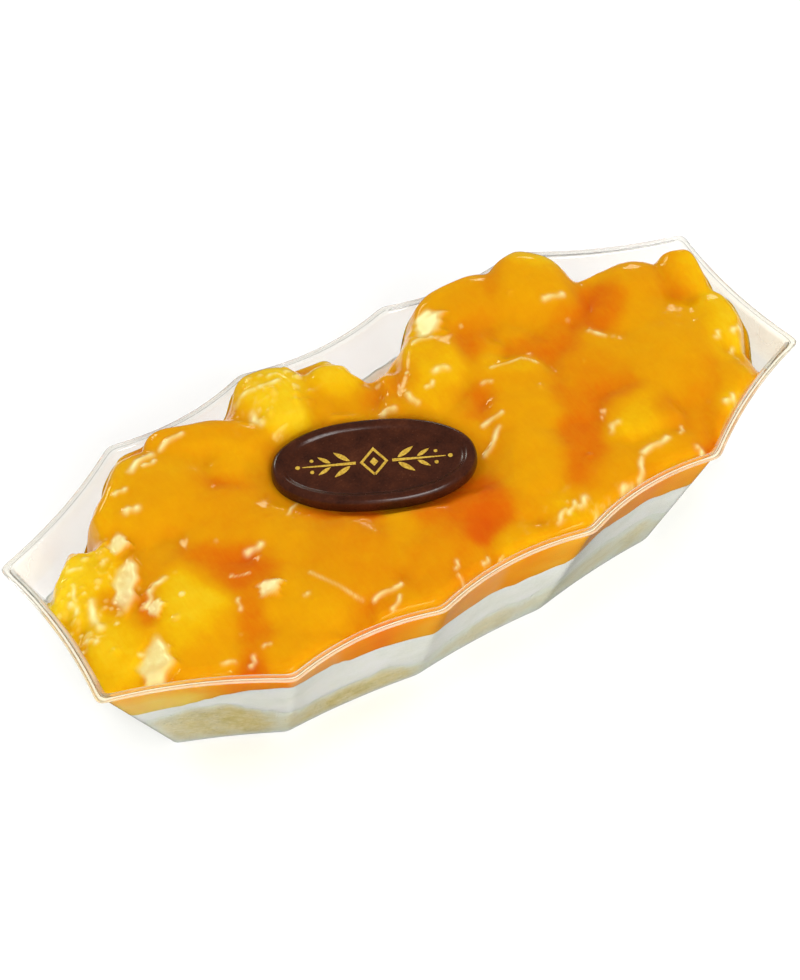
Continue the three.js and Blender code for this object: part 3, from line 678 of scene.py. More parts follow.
# small folds and shreds of fruit that stand up under the glaze: from x y to x y, half width, height
STREAKS = [
    (-44.7, 21.4, -40.1, 23.1, 0.65, 0.75), (-37.9, 22.7, -33.6, 23.0, 0.47, 0.6), (-41.9, 20.9, -40.0, 21.0, 0.47, 0.5), (-49.3, 17.8, -47.8, 17.9, 0.47, 0.5),
    (-49.9, 13.1, -48.4, 12.9, 0.65, 0.6), (-58.7, 6.9, -57.6, 7.0, 0.47, 0.4), (-64.1, 1.2, -65.4, -4.6, 0.65, 0.7), (-68.0, -4.9, -67.2, -6.5, 0.47, 0.5),
    (-66.8, 2.6, -66.7, 0.7, 0.47, 0.5), (-64.4, 8.7, -62.2, 7.9, 0.37, 0.4), (-65.0, 5.6, -66.0, 2.6, 0.37, 0.4), (-51.7, -2.2, -54.6, -3.2, 0.47, 0.6),
    (-54.6, -3.2, -57.0, -5.7, 0.47, 0.6), (-62.6, -13.5, -60.1, -13.9, 0.37, 0.4), (-42.0, -8.4, -38.9, -9.5, 0.23, 0.3), (-36.7, -5.4, -34.4, -5.3, 0.56, 0.55),
    (-48.0, -24.9, -47.0, -24.2, 0.42, 0.45), (-45.1, -23.6, -43.9, -23.8, 0.33, 0.3), (-52.3, -22.4, -50.2, -23.1, 0.37, 0.3), (-20.2, 25.2, -17.6, 24.3, 0.47, 0.45),
    (-16.3, 24.0, -12.7, 23.6, 0.47, 0.5), (-20.5, 20.9, -20.2, 17.5, 0.65, 0.6), (-13.9, 25.9, -12.2, 25.9, 0.37, 0.4), (-6.7, 24.6, -4.1, 25.2, 0.47, 0.5),
    (-0.8, 8.7, 1.3, 8.4, 0.56, 0.5), (4.9, 9.2, 5.3, 6.3, 0.47, 0.5), (11.3, 10.2, 13.8, 9.7, 0.56, 0.6), (8.6, 7.8, 10.2, 8.2, 0.37, 0.4),
    (-24.2, -25.7, -19.0, -25.4, 0.37, 0.55), (-22.7, -28.9, -20.2, -27.5, 0.33, 0.45), (-30.4, -15.4, -27.2, -22.6, 0.33, 0.12), (-27.2, -22.6, -26.0, -24.5, 0.33, 0.12),
    (-34.0, -19.0, -33.0, -19.2, 0.37, 0.35), (-9.4, -28.0, -8.4, -27.1, 0.37, 0.4), (-9.8, -29.4, -9.8, -31.5, 0.28, 0.35), (-26.9, -1.9, -23.7, 0.3, 0.28, 0.4),
    (-43.5, -13.5, -44.5, -15.4, 0.33, 0.3), (13.0, 18.6, 15.9, 18.1, 0.47, 0.5), (38.6, 13.6, 41.8, 13.3, 0.56, 0.45), (41.5, 4.3, 43.3, 1.8, 0.47, 0.55),
    (21.4, 6.2, 27.4, 5.4, 0.28, 0.4), (27.4, 5.4, 29.1, 2.7, 0.28, 0.4), (17.8, 4.4, 19.3, 3.7, 0.37, 0.3), (12.6, -3.9, 16.6, -3.4, 0.42, 0.5),
    (9.5, -9.0, 14.8, -6.0, 0.42, 0.5), (30.5, -17.6, 32.0, -17.1, 0.56, 0.4), (32.7, -24.9, 37.7, -24.3, 0.56, 0.55), (28.4, -28.8, 31.6, -25.6, 0.42, 0.5),
    (10.9, -29.0, 13.5, -27.8, 0.42, 0.45), (13.8, -28.8, 15.7, -27.3, 0.42, 0.45), (16.0, -28.4, 18.0, -27.8, 0.65, 0.6), (17.6, -30.9, 17.1, -32.7, 0.37, 0.4),
    (24.3, -29.0, 26.4, -29.1, 0.56, 0.5), (-4.5, -29.2, -3.2, -28.5, 0.33, 0.35), (-1.7, -29.8, -0.9, -29.6, 0.33, 0.3), (63.4, -10.4, 65.0, -9.6, 0.47, 0.45),
    (59.8, -9.8, 60.9, -9.3, 0.47, 0.35), (60.3, -13.2, 61.7, -12.9, 0.37, 0.35), (41.3, -28.6, 41.9, -30.1, 0.65, 0.6), (52.2, -23.1, 54.0, -22.6, 0.56, 0.5),
    (40.6, -24.6, 41.8, -23.6, 0.33, 0.35),
]
# flat places that lean towards the far left: centre x y, half size along the lean and across it, rise
FACETS = [
    (-57.5, 0.6, 2.2, 5.0, 1.9), (-54.2, 8.9, 1.7, 2.0, 0.9), (-61.4, -16.6, 2.5, 5.0, 1.6), (17.9, 21.7, 2.6, 3.2, 1.3),
    (-38.1, -14.6, 1.9, 1.8, 0.8), (-55.9, -6.8, 1.3, 1.8, 0.7),
]
CELL = 0.3
GX = np.arange(-75, 75 + CELL, CELL)
GY = np.arange(-35.4, 35.4 + CELL, CELL)
XX, YY = np.meshgrid(GX, GY, indexing="ij")


def blur(a, sigma_mm):
    s = sigma_mm / CELL
    r = int(math.ceil(3 * s))
    k = np.exp(-0.5 * (np.arange(-r, r + 1) / s) ** 2)
    k /= k.sum()
    for axis in (0, 1):
        pad = [(0, 0), (0, 0)]
        pad[axis] = (r, r)
        b = np.pad(a, pad, mode="edge")
        out = np.zeros_like(a)
        for i, w in enumerate(k):
            sl = [slice(None), slice(None)]
            sl[axis] = slice(i, i + a.shape[axis])
            out += w * b[tuple(sl)]
        a = out
    return a


def polar(x, y):
    """Share of the way from the middle to the inner lip, and the place round the rim, of level points."""
    place = np.arange(2400) * 12.0 / 2400
    line = inset_line(np.full(2400, 32.0), place, float(inside_at(32.0)))
    ang = np.arctan2(line[:, 1], line[:, 0])
    rad = np.hypot(line[:, 0], line[:, 1])
    turn = np.unwrap(ang)
    turn = turn - turn[0]
    a = (np.arctan2(y, x) - ang[0]) % (2 * math.pi)
    t = np.append(turn, 2 * math.pi)
    r = np.interp(a, t, np.append(rad, rad[0]))
    p = np.interp(a, t, np.append(place, 12.0))
    return np.hypot(x, y) / r, p % 12.0, r


SHARE, PLACE, REACH = polar(XX, YY)


def oval(x, y, cx, cy, rx, ry, yaw):
    a = math.radians(yaw)
    u = (x - cx) * math.cos(a) + (y - cy) * math.sin(a)
    v = -(x - cx) * math.sin(a) + (y - cy) * math.cos(a)
    return u / rx, v / ry


def lump_height(x, y, z, rx, ry, rz, yaw, n, coat):
    u, v = oval(XX, YY, x, y, rx + coat, ry + coat, yaw)
    k = x * 0.37 + y * 0.53
    u = u * (1 + 0.07 * np.sin(v * 2.1 + k)) + 0.05 * np.sin(3.1 * v - k)
    v = v * (1 + 0.07 * np.sin(u * 1.9 - k)) + 0.05 * np.sin(2.7 * u + 2 * k)
    rho = np.abs(u) ** n + np.abs(v) ** n
    dome = np.clip(1 - rho, 0, 1) ** (1 / n)
    lean = 0.09 * rz * (np.sin(k * 3) * u + np.cos(k * 2) * v)
    return np.where(rho < 1, z + (rz + coat * 0.4) * dome + lean * dome, -50.0)


def inside_outline(x, y):
    """Distance in mm inside the line on which the fruit ends, less than nothing outside it."""
    best = np.full(x.shape, 1e9)
    within = np.zeros(x.shape, bool)
    for (ax, ay), (bx, by) in zip(OUTLINE, np.roll(OUTLINE, -1, 0)):
        dx, dy = bx - ax, by - ay
        t = np.clip(((x - ax) * dx + (y - ay) * dy) / (dx * dx + dy * dy), 0, 1)
        best = np.minimum(best, np.hypot(x - ax - dx * t, y - ay - dy * t))
        if dy:
            crosses = ((ay > y) != (by > y)) & (x < ax + dx * (y - ay) / dy)
            within ^= crosses
    return np.where(within, best, -best)


def fields():
    wall = blur(edge_table(GLAZE_AT_WALL, PLACE), 0.8)
    level = 33.4 + 1.3 * smoothstep(0.98, 0.62, SHARE) + 0.4 * np.sin(0.21 * XX + 0.5) * np.cos(0.19 * YY) + 0.4 * noise2(XX * 0.13, YY * 0.13, 2.0)
    width = 4 + 1.5 * np.maximum(0, level - wall)
    inward = np.maximum(REACH * (1 - SHARE), 0)
    bed = wall + (level - wall) * smoothstep(0, 1, inward / width)
    soft = 0.85
    total = np.exp((bed - 30) / soft)
    for c in CHUNKS:
        total += np.exp((lump_height(*c, 0.8) - 30) / soft)
    for x, y, z, rx, ry, rz, yaw in LUMPS:
        total += np.exp((lump_height(x, y, z, rx, ry, rz, yaw, 2.5, 0.5) - 30) / soft)
    # and smaller fruit all over, at no place in particular
    k = 0
    for gx in np.arange(-62, 63, 6.6):
        for gy in np.arange(-28, 29, 6.2):
            k += 1
            x = gx + 4.4 * (hash01(k, 1.0) - 0.5)
            y = gy + 4.4 * (hash01(k, 2.0) - 0.5)
            s, p, r = polar(np.array(x), np.array(y))
            if s > 0.93 or (1.0 < x < 13 and y > 16) or (49 < x < 55 and y > 15):
                continue
            size = 2.6 + 2.6 * hash01(k, 3.0)
            top = 33.5 + 1.3 * hash01(k, 4.0) + 0.9 * float(s < 0.75) + 0.8 * float(y > 8)
            total += np.exp((lump_height(x, y, top - 3.2, size, size * (0.7 + 0.4 * hash01(k, 5.0)), 3.2,
                                         180 * hash01(k, 6.0), 2.6, 0.4) - 30) / soft)
    top = 30 + soft * np.log(total)
    top = bed + (top - bed) * (0.68 + 0.32 * smoothstep(-2, 14, YY))
    # it ends in a round steep edge where it doesn't reach the wall
    d = inside_outline(XX, YY) + 0.35 * noise2(XX * 0.35, YY * 0.35, 31.0) + 0.2 * noise2(XX * 0.9, YY * 0.9, 32.0)
    t = np.clip((d + 1.4) / 3.4, 0, 1)
    top = 21.6 + (top - 21.6) * np.sqrt(1 - (1 - t) ** 2)
    # the plaque lies sunk a little way into the glaze
    u, v = oval(XX, YY, -8.1, -0.4, 18.1, 9.7, -29)
    seat = 34.2 + 0.010 * (XX + 8.1) + 0.05 * (YY + 0.4)
    k = smoothstep(1.30, 1.0, np.hypot(u, v))
    top = np.where(top > seat, top + (seat - top) * k, top)
    k = smoothstep(1.08, 0.96, np.hypot(u, v))
    top = top + (np.minimum(top, seat - 0.5) - top) * k
    top = blur(top, 0.5)
    tone = np.full_like(XX, 0.42) * 0.12
    weight = np.full_like(XX, 0.12)
    wx = XX + 0.8 * noise2(XX * 0.22, YY * 0.22, 11.0) + 0.15 * noise2(XX * 0.8, YY * 0.8, 12.0)
    wy = YY + 0.8 * noise2(XX * 0.22, YY * 0.22, 13.0) + 0.15 * noise2(XX * 0.8, YY * 0.8, 14.0)
    for x, y, rx, ry, yaw, t in TONES:
        u, v = oval(wx, wy, x, y, rx * 1.12, ry * 1.12, yaw)
        w = np.exp(-1.0 * (u * u + v * v) ** 1.9)
        tone += w * t
        weight += w
    hollow = np.clip(top - blur(top, 2.6), -1.0, 1.0)
    return top, blur(0.06 + 0.94 * tone / weight, 0.55) + 0.16 * hollow


TOP, TONE = fields()


def sample(field, x, y):
    fx = np.clip((x - GX[0]) / CELL, 0, len(GX) - 1.001)
    fy = np.clip((y - GY[0]) / CELL, 0, len(GY) - 1.001)
    i, j = np.floor(fx).astype(int), np.floor(fy).astype(int)
    u, v = fx - i, fy - j
    return ((field[i, j] * (1 - u) + field[i + 1, j] * u) * (1 - v)
            + (field[i, j + 1] * (1 - u) + field[i + 1, j + 1] * u) * v)


BUBBLES = 110
LEAN = (0.8371, -0.5470)  # level direction in which the leaning places rise


def small_relief(x, y):
    """Height of the small folds, grains and bubbles, and how much pale pulp colour and painted highlight each gets."""
    h = np.zeros_like(x)
    pale_pulp_and_painted_highlight = np.zeros_like(x)
    for ax, ay, bx, by, w, up in STREAKS:
        dx, dy = bx - ax, by - ay
        n2 = max(dx * dx + dy * dy, 1e-6)
        t = np.clip(((x - ax) * dx + (y - ay) * dy) / n2, 0, 1)
        wob = 0.45 * w * np.sin(5.0 * t + ax) + 0.2 * w * noise2(x * 1.1, y * 1.1, 51.0)
        d = np.hypot(x - ax - dx * t + wob, y - ay - dy * t - wob)
        h = np.maximum(h, 0.8 * up * np.exp(-(d / (w * 1.15)) ** 2) * (0.75 + 0.25 * np.sin(5 * t + by)))
        # pale along each streak: pale pulp shreds, partly a painted highlight
        pale_pulp_and_painted_highlight = np.maximum(pale_pulp_and_painted_highlight, min(1.0, 0.25 + 1.0 * up) * np.exp(-(d / (w * 0.95)) ** 2) * (0.75 + 0.25 * np.sin(7 * t + ax)))
    pulp = smoothstep(-54, -60, x) * smoothstep(-8, 0, y) + 0.35 * np.exp(-((x + 16) / 7) ** 2 - ((y - 23) / 6) ** 2)
    pulp = pulp + 0.6 * np.exp(-((x - 15) / 7) ** 2 - ((y + 29) / 3.5) ** 2)
    grain = noise2(x * 0.75, y * 0.75, 21.0) + 0.45 * noise2(x * 1.7, y * 1.7, 22.0)
    h += 0.34 * np.clip(pulp, 0, 1) * np.maximum(grain, -0.2)
    # pale on the tops of the pulp's grain: pale pulp, partly a painted highlight
    pale_pulp_and_painted_highlight = np.maximum(pale_pulp_and_painted_highlight, 0.45 * np.clip(pulp, 0, 1) * smoothstep(0.4, 1.3, grain))
    for i in range(BUBBLES):
        k = i * 7.0
        if hash01(k, 9.0) < 0.45:
            bx, by = -70 + 15 * hash01(k, 1.0), -7 + 21 * hash01(k, 2.0)
        elif hash01(k, 9.0) < 0.6:
            bx, by = -69 + 20 * hash01(k, 1.0), -18 + 32 * hash01(k, 2.0)
        elif hash01(k, 9.0) < 0.8:
            bx, by = -22 + 14 * hash01(k, 1.0), 17 + 12 * hash01(k, 2.0)
        else:
            bx, by = -60 + 122 * hash01(k, 1.0), -28 + 50 * hash01(k, 2.0)
        r = 0.45 + 0.75 * hash01(k, 3.0) ** 2
        d2 = ((x - bx) ** 2 + (y - by) ** 2) / (r * r)
        h += 0.34 * r * np.clip(1 - d2, 0, 1) ** 1.4
        # painted highlight: pale tops on some bubbles
        pale_pulp_and_painted_highlight = np.maximum(pale_pulp_and_painted_highlight, 0.5 * hash01(k, 4.0) ** 2.5 * np.clip(1.15 - d2, 0, 1) * (r < 0.9))
    h += 0.04 * noise2(x * 0.8, y * 0.8, 23.0) + 0.10 * noise2(x * 0.28, y * 0.28, 24.0)
    return h, pale_pulp_and_painted_highlight


def leaning(x, y, z):
    """Flattens small places so that they all face the far left window, and how much pale colour they get as a painted
    highlight.
    """
    pale_pulp_and_painted_highlight = np.zeros_like(x)
    for cx, cy, p, q, _ in FACETS:
        u = (x - cx) * LEAN[0] + (y - cy) * LEAN[1]
        v = -(x - cx) * LEAN[1] + (y - cy) * LEAN[0]
        edge = 1 + 0.16 * np.sin(4.3 * v / q + cx) + 0.12 * np.sin(8.7 * v / q + cy)
        r = np.sqrt((u / (p * edge)) ** 2 + (v / (q * (1 + 0.15 * np.sin(3 * u / p + cy)))) ** 2)
        w = smoothstep(1.45, 0.75, r)
        base = float(sample(TOP, cx, cy))
        z = z + (base + 0.5 + 0.527 * u - z) * w
        # painted highlight: each facet is coloured pale
        pale_pulp_and_painted_highlight = np.maximum(pale_pulp_and_painted_highlight, 0.75 * smoothstep(1.2, 0.7, r) * (0.82 + 0.18 * noise2(x * 0.9, y * 0.9, 41.0)))
    return z, pale_pulp_and_painted_highlight


def build_topping():
    # a sheet between the four sides of the rim: left end, near, right end, far
    nu, nv = 410, 170
    u = np.linspace(0, 1, nu + 1)
    v = np.linspace(0, 1, nv + 1)

    def even(a, b, count):
        """Places from a to b, evenly spaced along the rim."""
        p = np.linspace(a, b, 1200)
        q = inset_line(np.full(1200, 32.0), p, float(inside_at(32.0)))
        s = np.concatenate(((0,), np.cumsum(np.hypot(*np.diff(q, axis=0).T))))
        return np.interp(np.linspace(0, s[-1], count + 1), s, p)

    near = even(1, 6, nu)            # x rising
    far = even(12, 7, nu)            # x rising
    left = even(1, 0, nv)            # y rising
    right = even(6, 7, nv)           # y rising
    loop = np.concatenate((near[:-1], right[:-1], far[::-1][:-1], left[::-1][:-1]))

    def wall_height(place):
        # the highest level at which the fruit still reaches the sloping wall
        z = np.full(len(place), 21.2)
        for level in np.linspace(21.3, 32.75, 116):
            q = inset_line(np.full(len(place), level), place, float(inside_at(level)) + 0.5)
            z = np.where(sample(TOP, q[:, 0], q[:, 1]) >= level, level, z)
        return z

    zl = wall_height(loop)
    for _ in range(10):
        zl = (np.roll(zl, 1) + 2 * zl + np.roll(zl, -1)) / 4
    near_side = smoothstep(0.2, 0.9, loop) * smoothstep(6.4, 5.6, loop)

    def bury_at(z):
        return 0.04 + (0.08 + (BURY - 0.12) * smoothstep(31.6, 29.0, z)) * near_side

    ring = np.column_stack((inset_line(zl, loop, inside_at(zl) - bury_at(zl)), zl))
    # The sheet is spread between the four sides of an even ring near the lip,
    # and its margin is then drawn in to the true ring, which is lower in places.
    flat = np.column_stack((inset_line(np.full(len(loop), 32.3), loop, float(inside_at(32.3))), np.full(len(loop), 32.3)))

    def sides(a):
        left_side = np.vstack((a[nu + nv + nu:], a[:1]))[::-1]
        return a[:nu + 1], a[nu:nu + nv + 1], a[nu + nv:nu + nv + nu + 1][::-1], left_side

    def spread(a, wu0, wu1, wv0, wv1):
        n, r, f, l = sides(a)
        return (wv0 * n[:, None, :] + wv1 * f[:, None, :] + wu0 * l[None, :, :] + wu1 * r[None, :, :]
                - (wu0 * wv0 * n[0] + wu1 * wv0 * n[-1] + wu0 * wv1 * f[0] + wu1 * wv1 * f[-1]))

    U, V = np.meshgrid(u, v, indexing="ij")
    U, V = U[..., None], V[..., None]
    P = spread(flat, 1 - U, U, 1 - V, V)
    mu, mv = 0.10, 0.20
    P = P + spread(ring - flat, np.clip(1 - U / mu, 0, 1) ** 2, np.clip(1 - (1 - U) / mu, 0, 1) ** 2,
                   np.clip(1 - V / mv, 0, 1) ** 2, np.clip(1 - (1 - V) / mv, 0, 1) ** 2)
    n, r, f, l = sides(ring)
    x, y, zw = P[..., 0], P[..., 1], P[..., 2]
    # distance in from the rim, for the round shoulder against the wall
    d = np.full(x.shape, 50.0)
    coarse = np.column_stack((ring, near_side))[::2]
    pts = np.column_stack((x.ravel(), y.ravel()))
    s, _, _ = polar(x, y)
    rim = (s > 0.9).ravel()
    best = np.full(rim.sum(), 50.0)
    own = np.zeros(rim.sum())
    near_by = np.ones(rim.sum())
    for q in coarse:
        e = np.hypot(pts[rim, 0] - q[0], pts[rim, 1] - q[1])
        m = e < best
        best[m] = e[m]
        own[m] = q[2]
        near_by[m] = q[3]
    d.ravel()[rim] = best
    zw = zw.copy()
    zw.ravel()[rim] = own
    full = np.ones(x.shape)
    full.ravel()[rim] = near_by
    small, pale_pulp_and_painted_highlight = small_relief(x, y)
    top, facet_painted_highlight = leaning(x, y, sample(TOP, x, y) + small)
    t = np.clip(d / 1.7, 0, 1)
    # full against the near wall, drawn back from the wall on the far side
    rise = full * np.sqrt(np.clip(1 - (1 - t) ** 2, 0, 1)) + (1 - full) * t * t * (3 - 2 * t)
    z = np.where(d < 1.7, zw + (top - zw) * rise, top)
    z[0, :], z[-1, :], z[:, 0], z[:, -1] = l[:, 2], r[:, 2], n[:, 2], f[:, 2]
    verts = [np.column_stack((x.ravel(), y.ravel(), z.ravel()))]
    tone = [sample(TONE, x, y).ravel()]
    pale_pulp_and_painted_highlight = [np.maximum(pale_pulp_and_painted_highlight, facet_painted_highlight).ravel()]
    smear = [np.zeros(x.size)]
    against = [np.zeros(x.size)]
    idx = np.arange((nu + 1) * (nv + 1)).reshape(nu + 1, nv + 1)
    faces = np.stack((idx[:-1, :-1], idx[1:, :-1], idx[1:, 1:], idx[:-1, 1:]), -1).reshape(-1, 4).tolist()
    edge = np.concatenate((idx[:, 0][:-1], idx[-1, :][:-1], idx[:, -1][::-1][:-1], idx[0, :][::-1][:-1]))
    count = len(verts[0])
    m = len(edge)
    # down the wall, then inwards under the cream's edge
    low = np.minimum(cream_edge(loop), zl - 0.4)
    prev = edge
    rows = [(zl + (low - zl) * t, bury_at(zl + (low - zl) * t)) for t in (0.06, 0.14, 0.26, 0.4, 0.55, 0.7, 0.84, 0.95)]
    rows += [(low - 0.6, BURY - 0.12), (low - 1.2, BURY - 0.5), (low - 1.6, BURY - 3.0)]
    for zz, bury in rows:
        w = inset_line(zz, loop, inside_at(zz) - bury)
        verts.append(np.column_stack((w, zz)))
        tone.append(edge_table(WALL_TONE, loop) + 0.05 * noise_ring(loop, 110, 4.0) + 0.08 * noise2(loop * 9, zz * 0.5, 3.0)
                    - 0.35 * smoothstep(26.0, 30.0, zz) * smoothstep(0.5, 0.8, edge_table(WALL_TONE, loop)))
        pale_pulp_and_painted_highlight.append(np.zeros(m))
        smear.append(np.clip(edge_table(SMEAR, loop) * (1 + 0.25 * noise2(loop * 12, zz * 0.6, 7.0)), 0, 1))
        # share of the painted light, down the wall
        against.append(smoothstep(0.02, 0.12, (zl - zz) / np.maximum(zl - low, 1)))
        now = count + np.arange(m)
        nxt = np.roll(now, -1)
        faces += np.stack((prev, now, nxt, np.roll(prev, -1)), 1).tolist()
        prev = now
        count += m
    verts.append(np.array([(0.0, 0.0, 22.0)]))
    tone.append(np.array([0.4]))
    pale_pulp_and_painted_highlight.append(np.zeros(1))
    smear.append(np.zeros(1))
    against.append(np.ones(1))
    faces += np.stack((prev, np.full(m, count), np.roll(prev, -1)), 1).tolist()
    return new_mesh("mango_topping", np.concatenate(verts), faces, (
        ("tone", np.concatenate(tone)), ("pale_pulp_and_painted_highlight", np.concatenate(pale_pulp_and_painted_highlight)), ("smear", np.concatenate(smear)),
        ("wall", np.concatenate(against))))


def topping_material():
    g = Nodes("mango_glaze")
    v = g.coords()
    mid = g.noise(v, 0.30, 3.0, 0.55)
    fine = g.noise(v, 1.3, 3.0, 0.6)
    stretch = g.add("ShaderNodeMapping")
    g.tree.links.new(v, stretch.inputs["Vector"])
    stretch.inputs["Scale"].default_value = (2.2, 0.45, 1.0)
    stretch.inputs["Rotation"].default_value = (0, 0, 0.6)
    fibre = g.noise(stretch.outputs["Vector"], 0.8, 2.0, 0.5, 0.6)
    tone = g.attr("tone")
    tone = g.math("ADD", tone, g.math("MULTIPLY", g.math("SUBTRACT", mid, 0.5), 0.26))
    tone = g.math("ADD", tone, g.math("MULTIPLY", g.math("SUBTRACT", fine, 0.5), 0.12))
    tone = g.math("ADD", tone, g.math("MULTIPLY", g.math("SUBTRACT", fibre, 0.5), 0.14))
    def fruit(r, gr, b):
        return tuple(0.75 * c for c in srgb(r, gr, b))

    color = g.ramp(g.range(tone, -0.4, 1.1), [
        (0.0, fruit(222, 76, 8)), (0.27, fruit(226, 106, 8)), (0.4, fruit(229, 128, 8)), (0.5, fruit(231, 144, 8)),
        (0.6, fruit(234, 158, 8)), (0.72, fruit(239, 169, 8)), (0.84, fruit(245, 189, 11)), (1.0, fruit(251, 211, 34))])
    # pale pulp and painted highlight: mixed toward cream yellow
    color = g.mix(g.attr("pale_pulp_and_painted_highlight"), color, (0.79, 0.76, 0.36))
    # painted light: where the glaze lies against the wall it gets a brighter lit copy of its colour, standing in for
    # light coming through it from above
    lit = g.ramp(g.range(g.attr("tone"), -0.4, 1.1), [
        (0.2, (0.92, 0.20, 0.004)), (0.4, (0.97, 0.29, 0.004)), (0.55, (1.0, 0.37, 0.006)), (0.85, (1.0, 0.63, 0.07)), (1.0, (1.0, 0.74, 0.15))])
    color = g.mix(g.attr("wall"), color, lit)
    color = g.mix(g.attr("smear"), color, (0.84, 0.43, 0.16))
    p = g.principled(Base_Color=color, Roughness=g.range(fine, 0.3, 0.7, 0.05, 0.14),
                     Normal=g.bump(g.math("ADD", mid, g.math("MULTIPLY", fine, 0.3)), 0.15, 0.0006))
    g.put(p.inputs["Subsurface Weight"], g.range(g.attr("pale_pulp_and_painted_highlight"), 0.0, 0.6, 0.55, 0.1))
    p.inputs["Subsurface Radius"].default_value = (1.0, 0.45, 0.08)
    p.inputs["Subsurface Scale"].default_value = 0.003
    p.inputs["IOR"].default_value = 1.4
    p.inputs["Specular IOR Level"].default_value = 0.26
    p.inputs["Specular Tint"].default_value = (0.66, 1.0, 0.46, 1)
    return g.finish(p.outputs[0])


topping = build_topping()
topping.data.materials.append(topping_material())
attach(topping, "root")
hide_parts(*[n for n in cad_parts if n.startswith("mango_")])

# ------------------------------------------------------------------ plaque --
PLAQUE_A, PLAQUE_B, PLAQUE_T = 18.1, 9.7, 3.4
PLAQUE_AT = Vector((-8.1, -0.4, 35.2))
PLAQUE_TURN = Matrix.Rotation(math.radians(-29), 4, "Z") @ Matrix.Rotation(math.radians(3), 4, "X") @ Matrix.Rotation(math.radians(-1), 4, "Y")


def plaque_point(u, v, w):
    q = np.column_stack((np.ravel(u), np.ravel(v), np.ravel(w)))
    m = np.array(PLAQUE_TURN.to_3x3())
    return q @ m.T + np.array(PLAQUE_AT)


def build_plaque():
    n = 160
    t = np.arange(n) * 2 * math.pi / n
    ex = 2.15
    cx = np.sign(np.cos(t)) * np.abs(np.cos(t)) ** (2 / ex)
    cy = np.sign(np.sin(t)) * np.abs(np.sin(t)) ** (2 / ex)
    half = PLAQUE_T / 2
    prof = [(3.0, -half), (1.1, -half), (0.5, -half + 0.2), (0.15, -half + 0.65), (0.0, -0.4), (0.02, 0.3),
            (0.16, half - 0.75), (0.5, half - 0.28), (0.95, half - 0.04), (1.35, half),
            (1.75, half - 0.06), (2.1, half - 0.28), (2.35, half - 0.55), (2.65, half - 0.78),
            (3.1, half - 0.86), (4.2, half - 0.88), (6.5, half - 0.9), (8.5, half - 0.9)]
    rings = []
    for off, w in prof:
        u = cx * (PLAQUE_A - off)
        v = cy * (PLAQUE_B - off)
        w = w + 0.05 * np.sin(3 * t + off) + 0.04 * np.sin(7 * t)
        rings.append(plaque_point(u, v, w))
    verts = np.concatenate(rings)
    m = len(verts)
    verts = np.vstack((verts, plaque_point(0, 0, -half), plaque_point(0, 0, half - 0.9)))
    return new_mesh("chocolate_oval", verts, ring_faces(len(rings), n, m, m + 1))


def chocolate_material():
    g = Nodes("dark_chocolate")
    v = g.coords()
    cloud = g.noise(v, 0.25, 4.0, 0.6)
    fine = g.noise(v, 2.5, 4.0, 0.65)
    color = g.ramp(g.math("ADD", g.math("MULTIPLY", cloud, 0.6), g.math("MULTIPLY", fine, 0.4)), [
        (0.35, srgb(44, 17, 7)), (0.55, srgb(64, 28, 12)), (0.75, srgb(84, 42, 20))])
    p = g.principled(Base_Color=color, Roughness=g.range(fine, 0.3, 0.7, 0.18, 0.28),
                     Normal=g.bump(g.math("ADD", g.math("MULTIPLY", cloud, 0.85), g.math("MULTIPLY", fine, 0.15)), 0.2, 0.0004))
    p.inputs["Specular IOR Level"].default_value = 0.36
    return g.finish(p.outputs[0])


plaque = build_plaque()
plaque.data.materials.append(chocolate_material())
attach(plaque, "root")
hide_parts("chocolate_plaque")

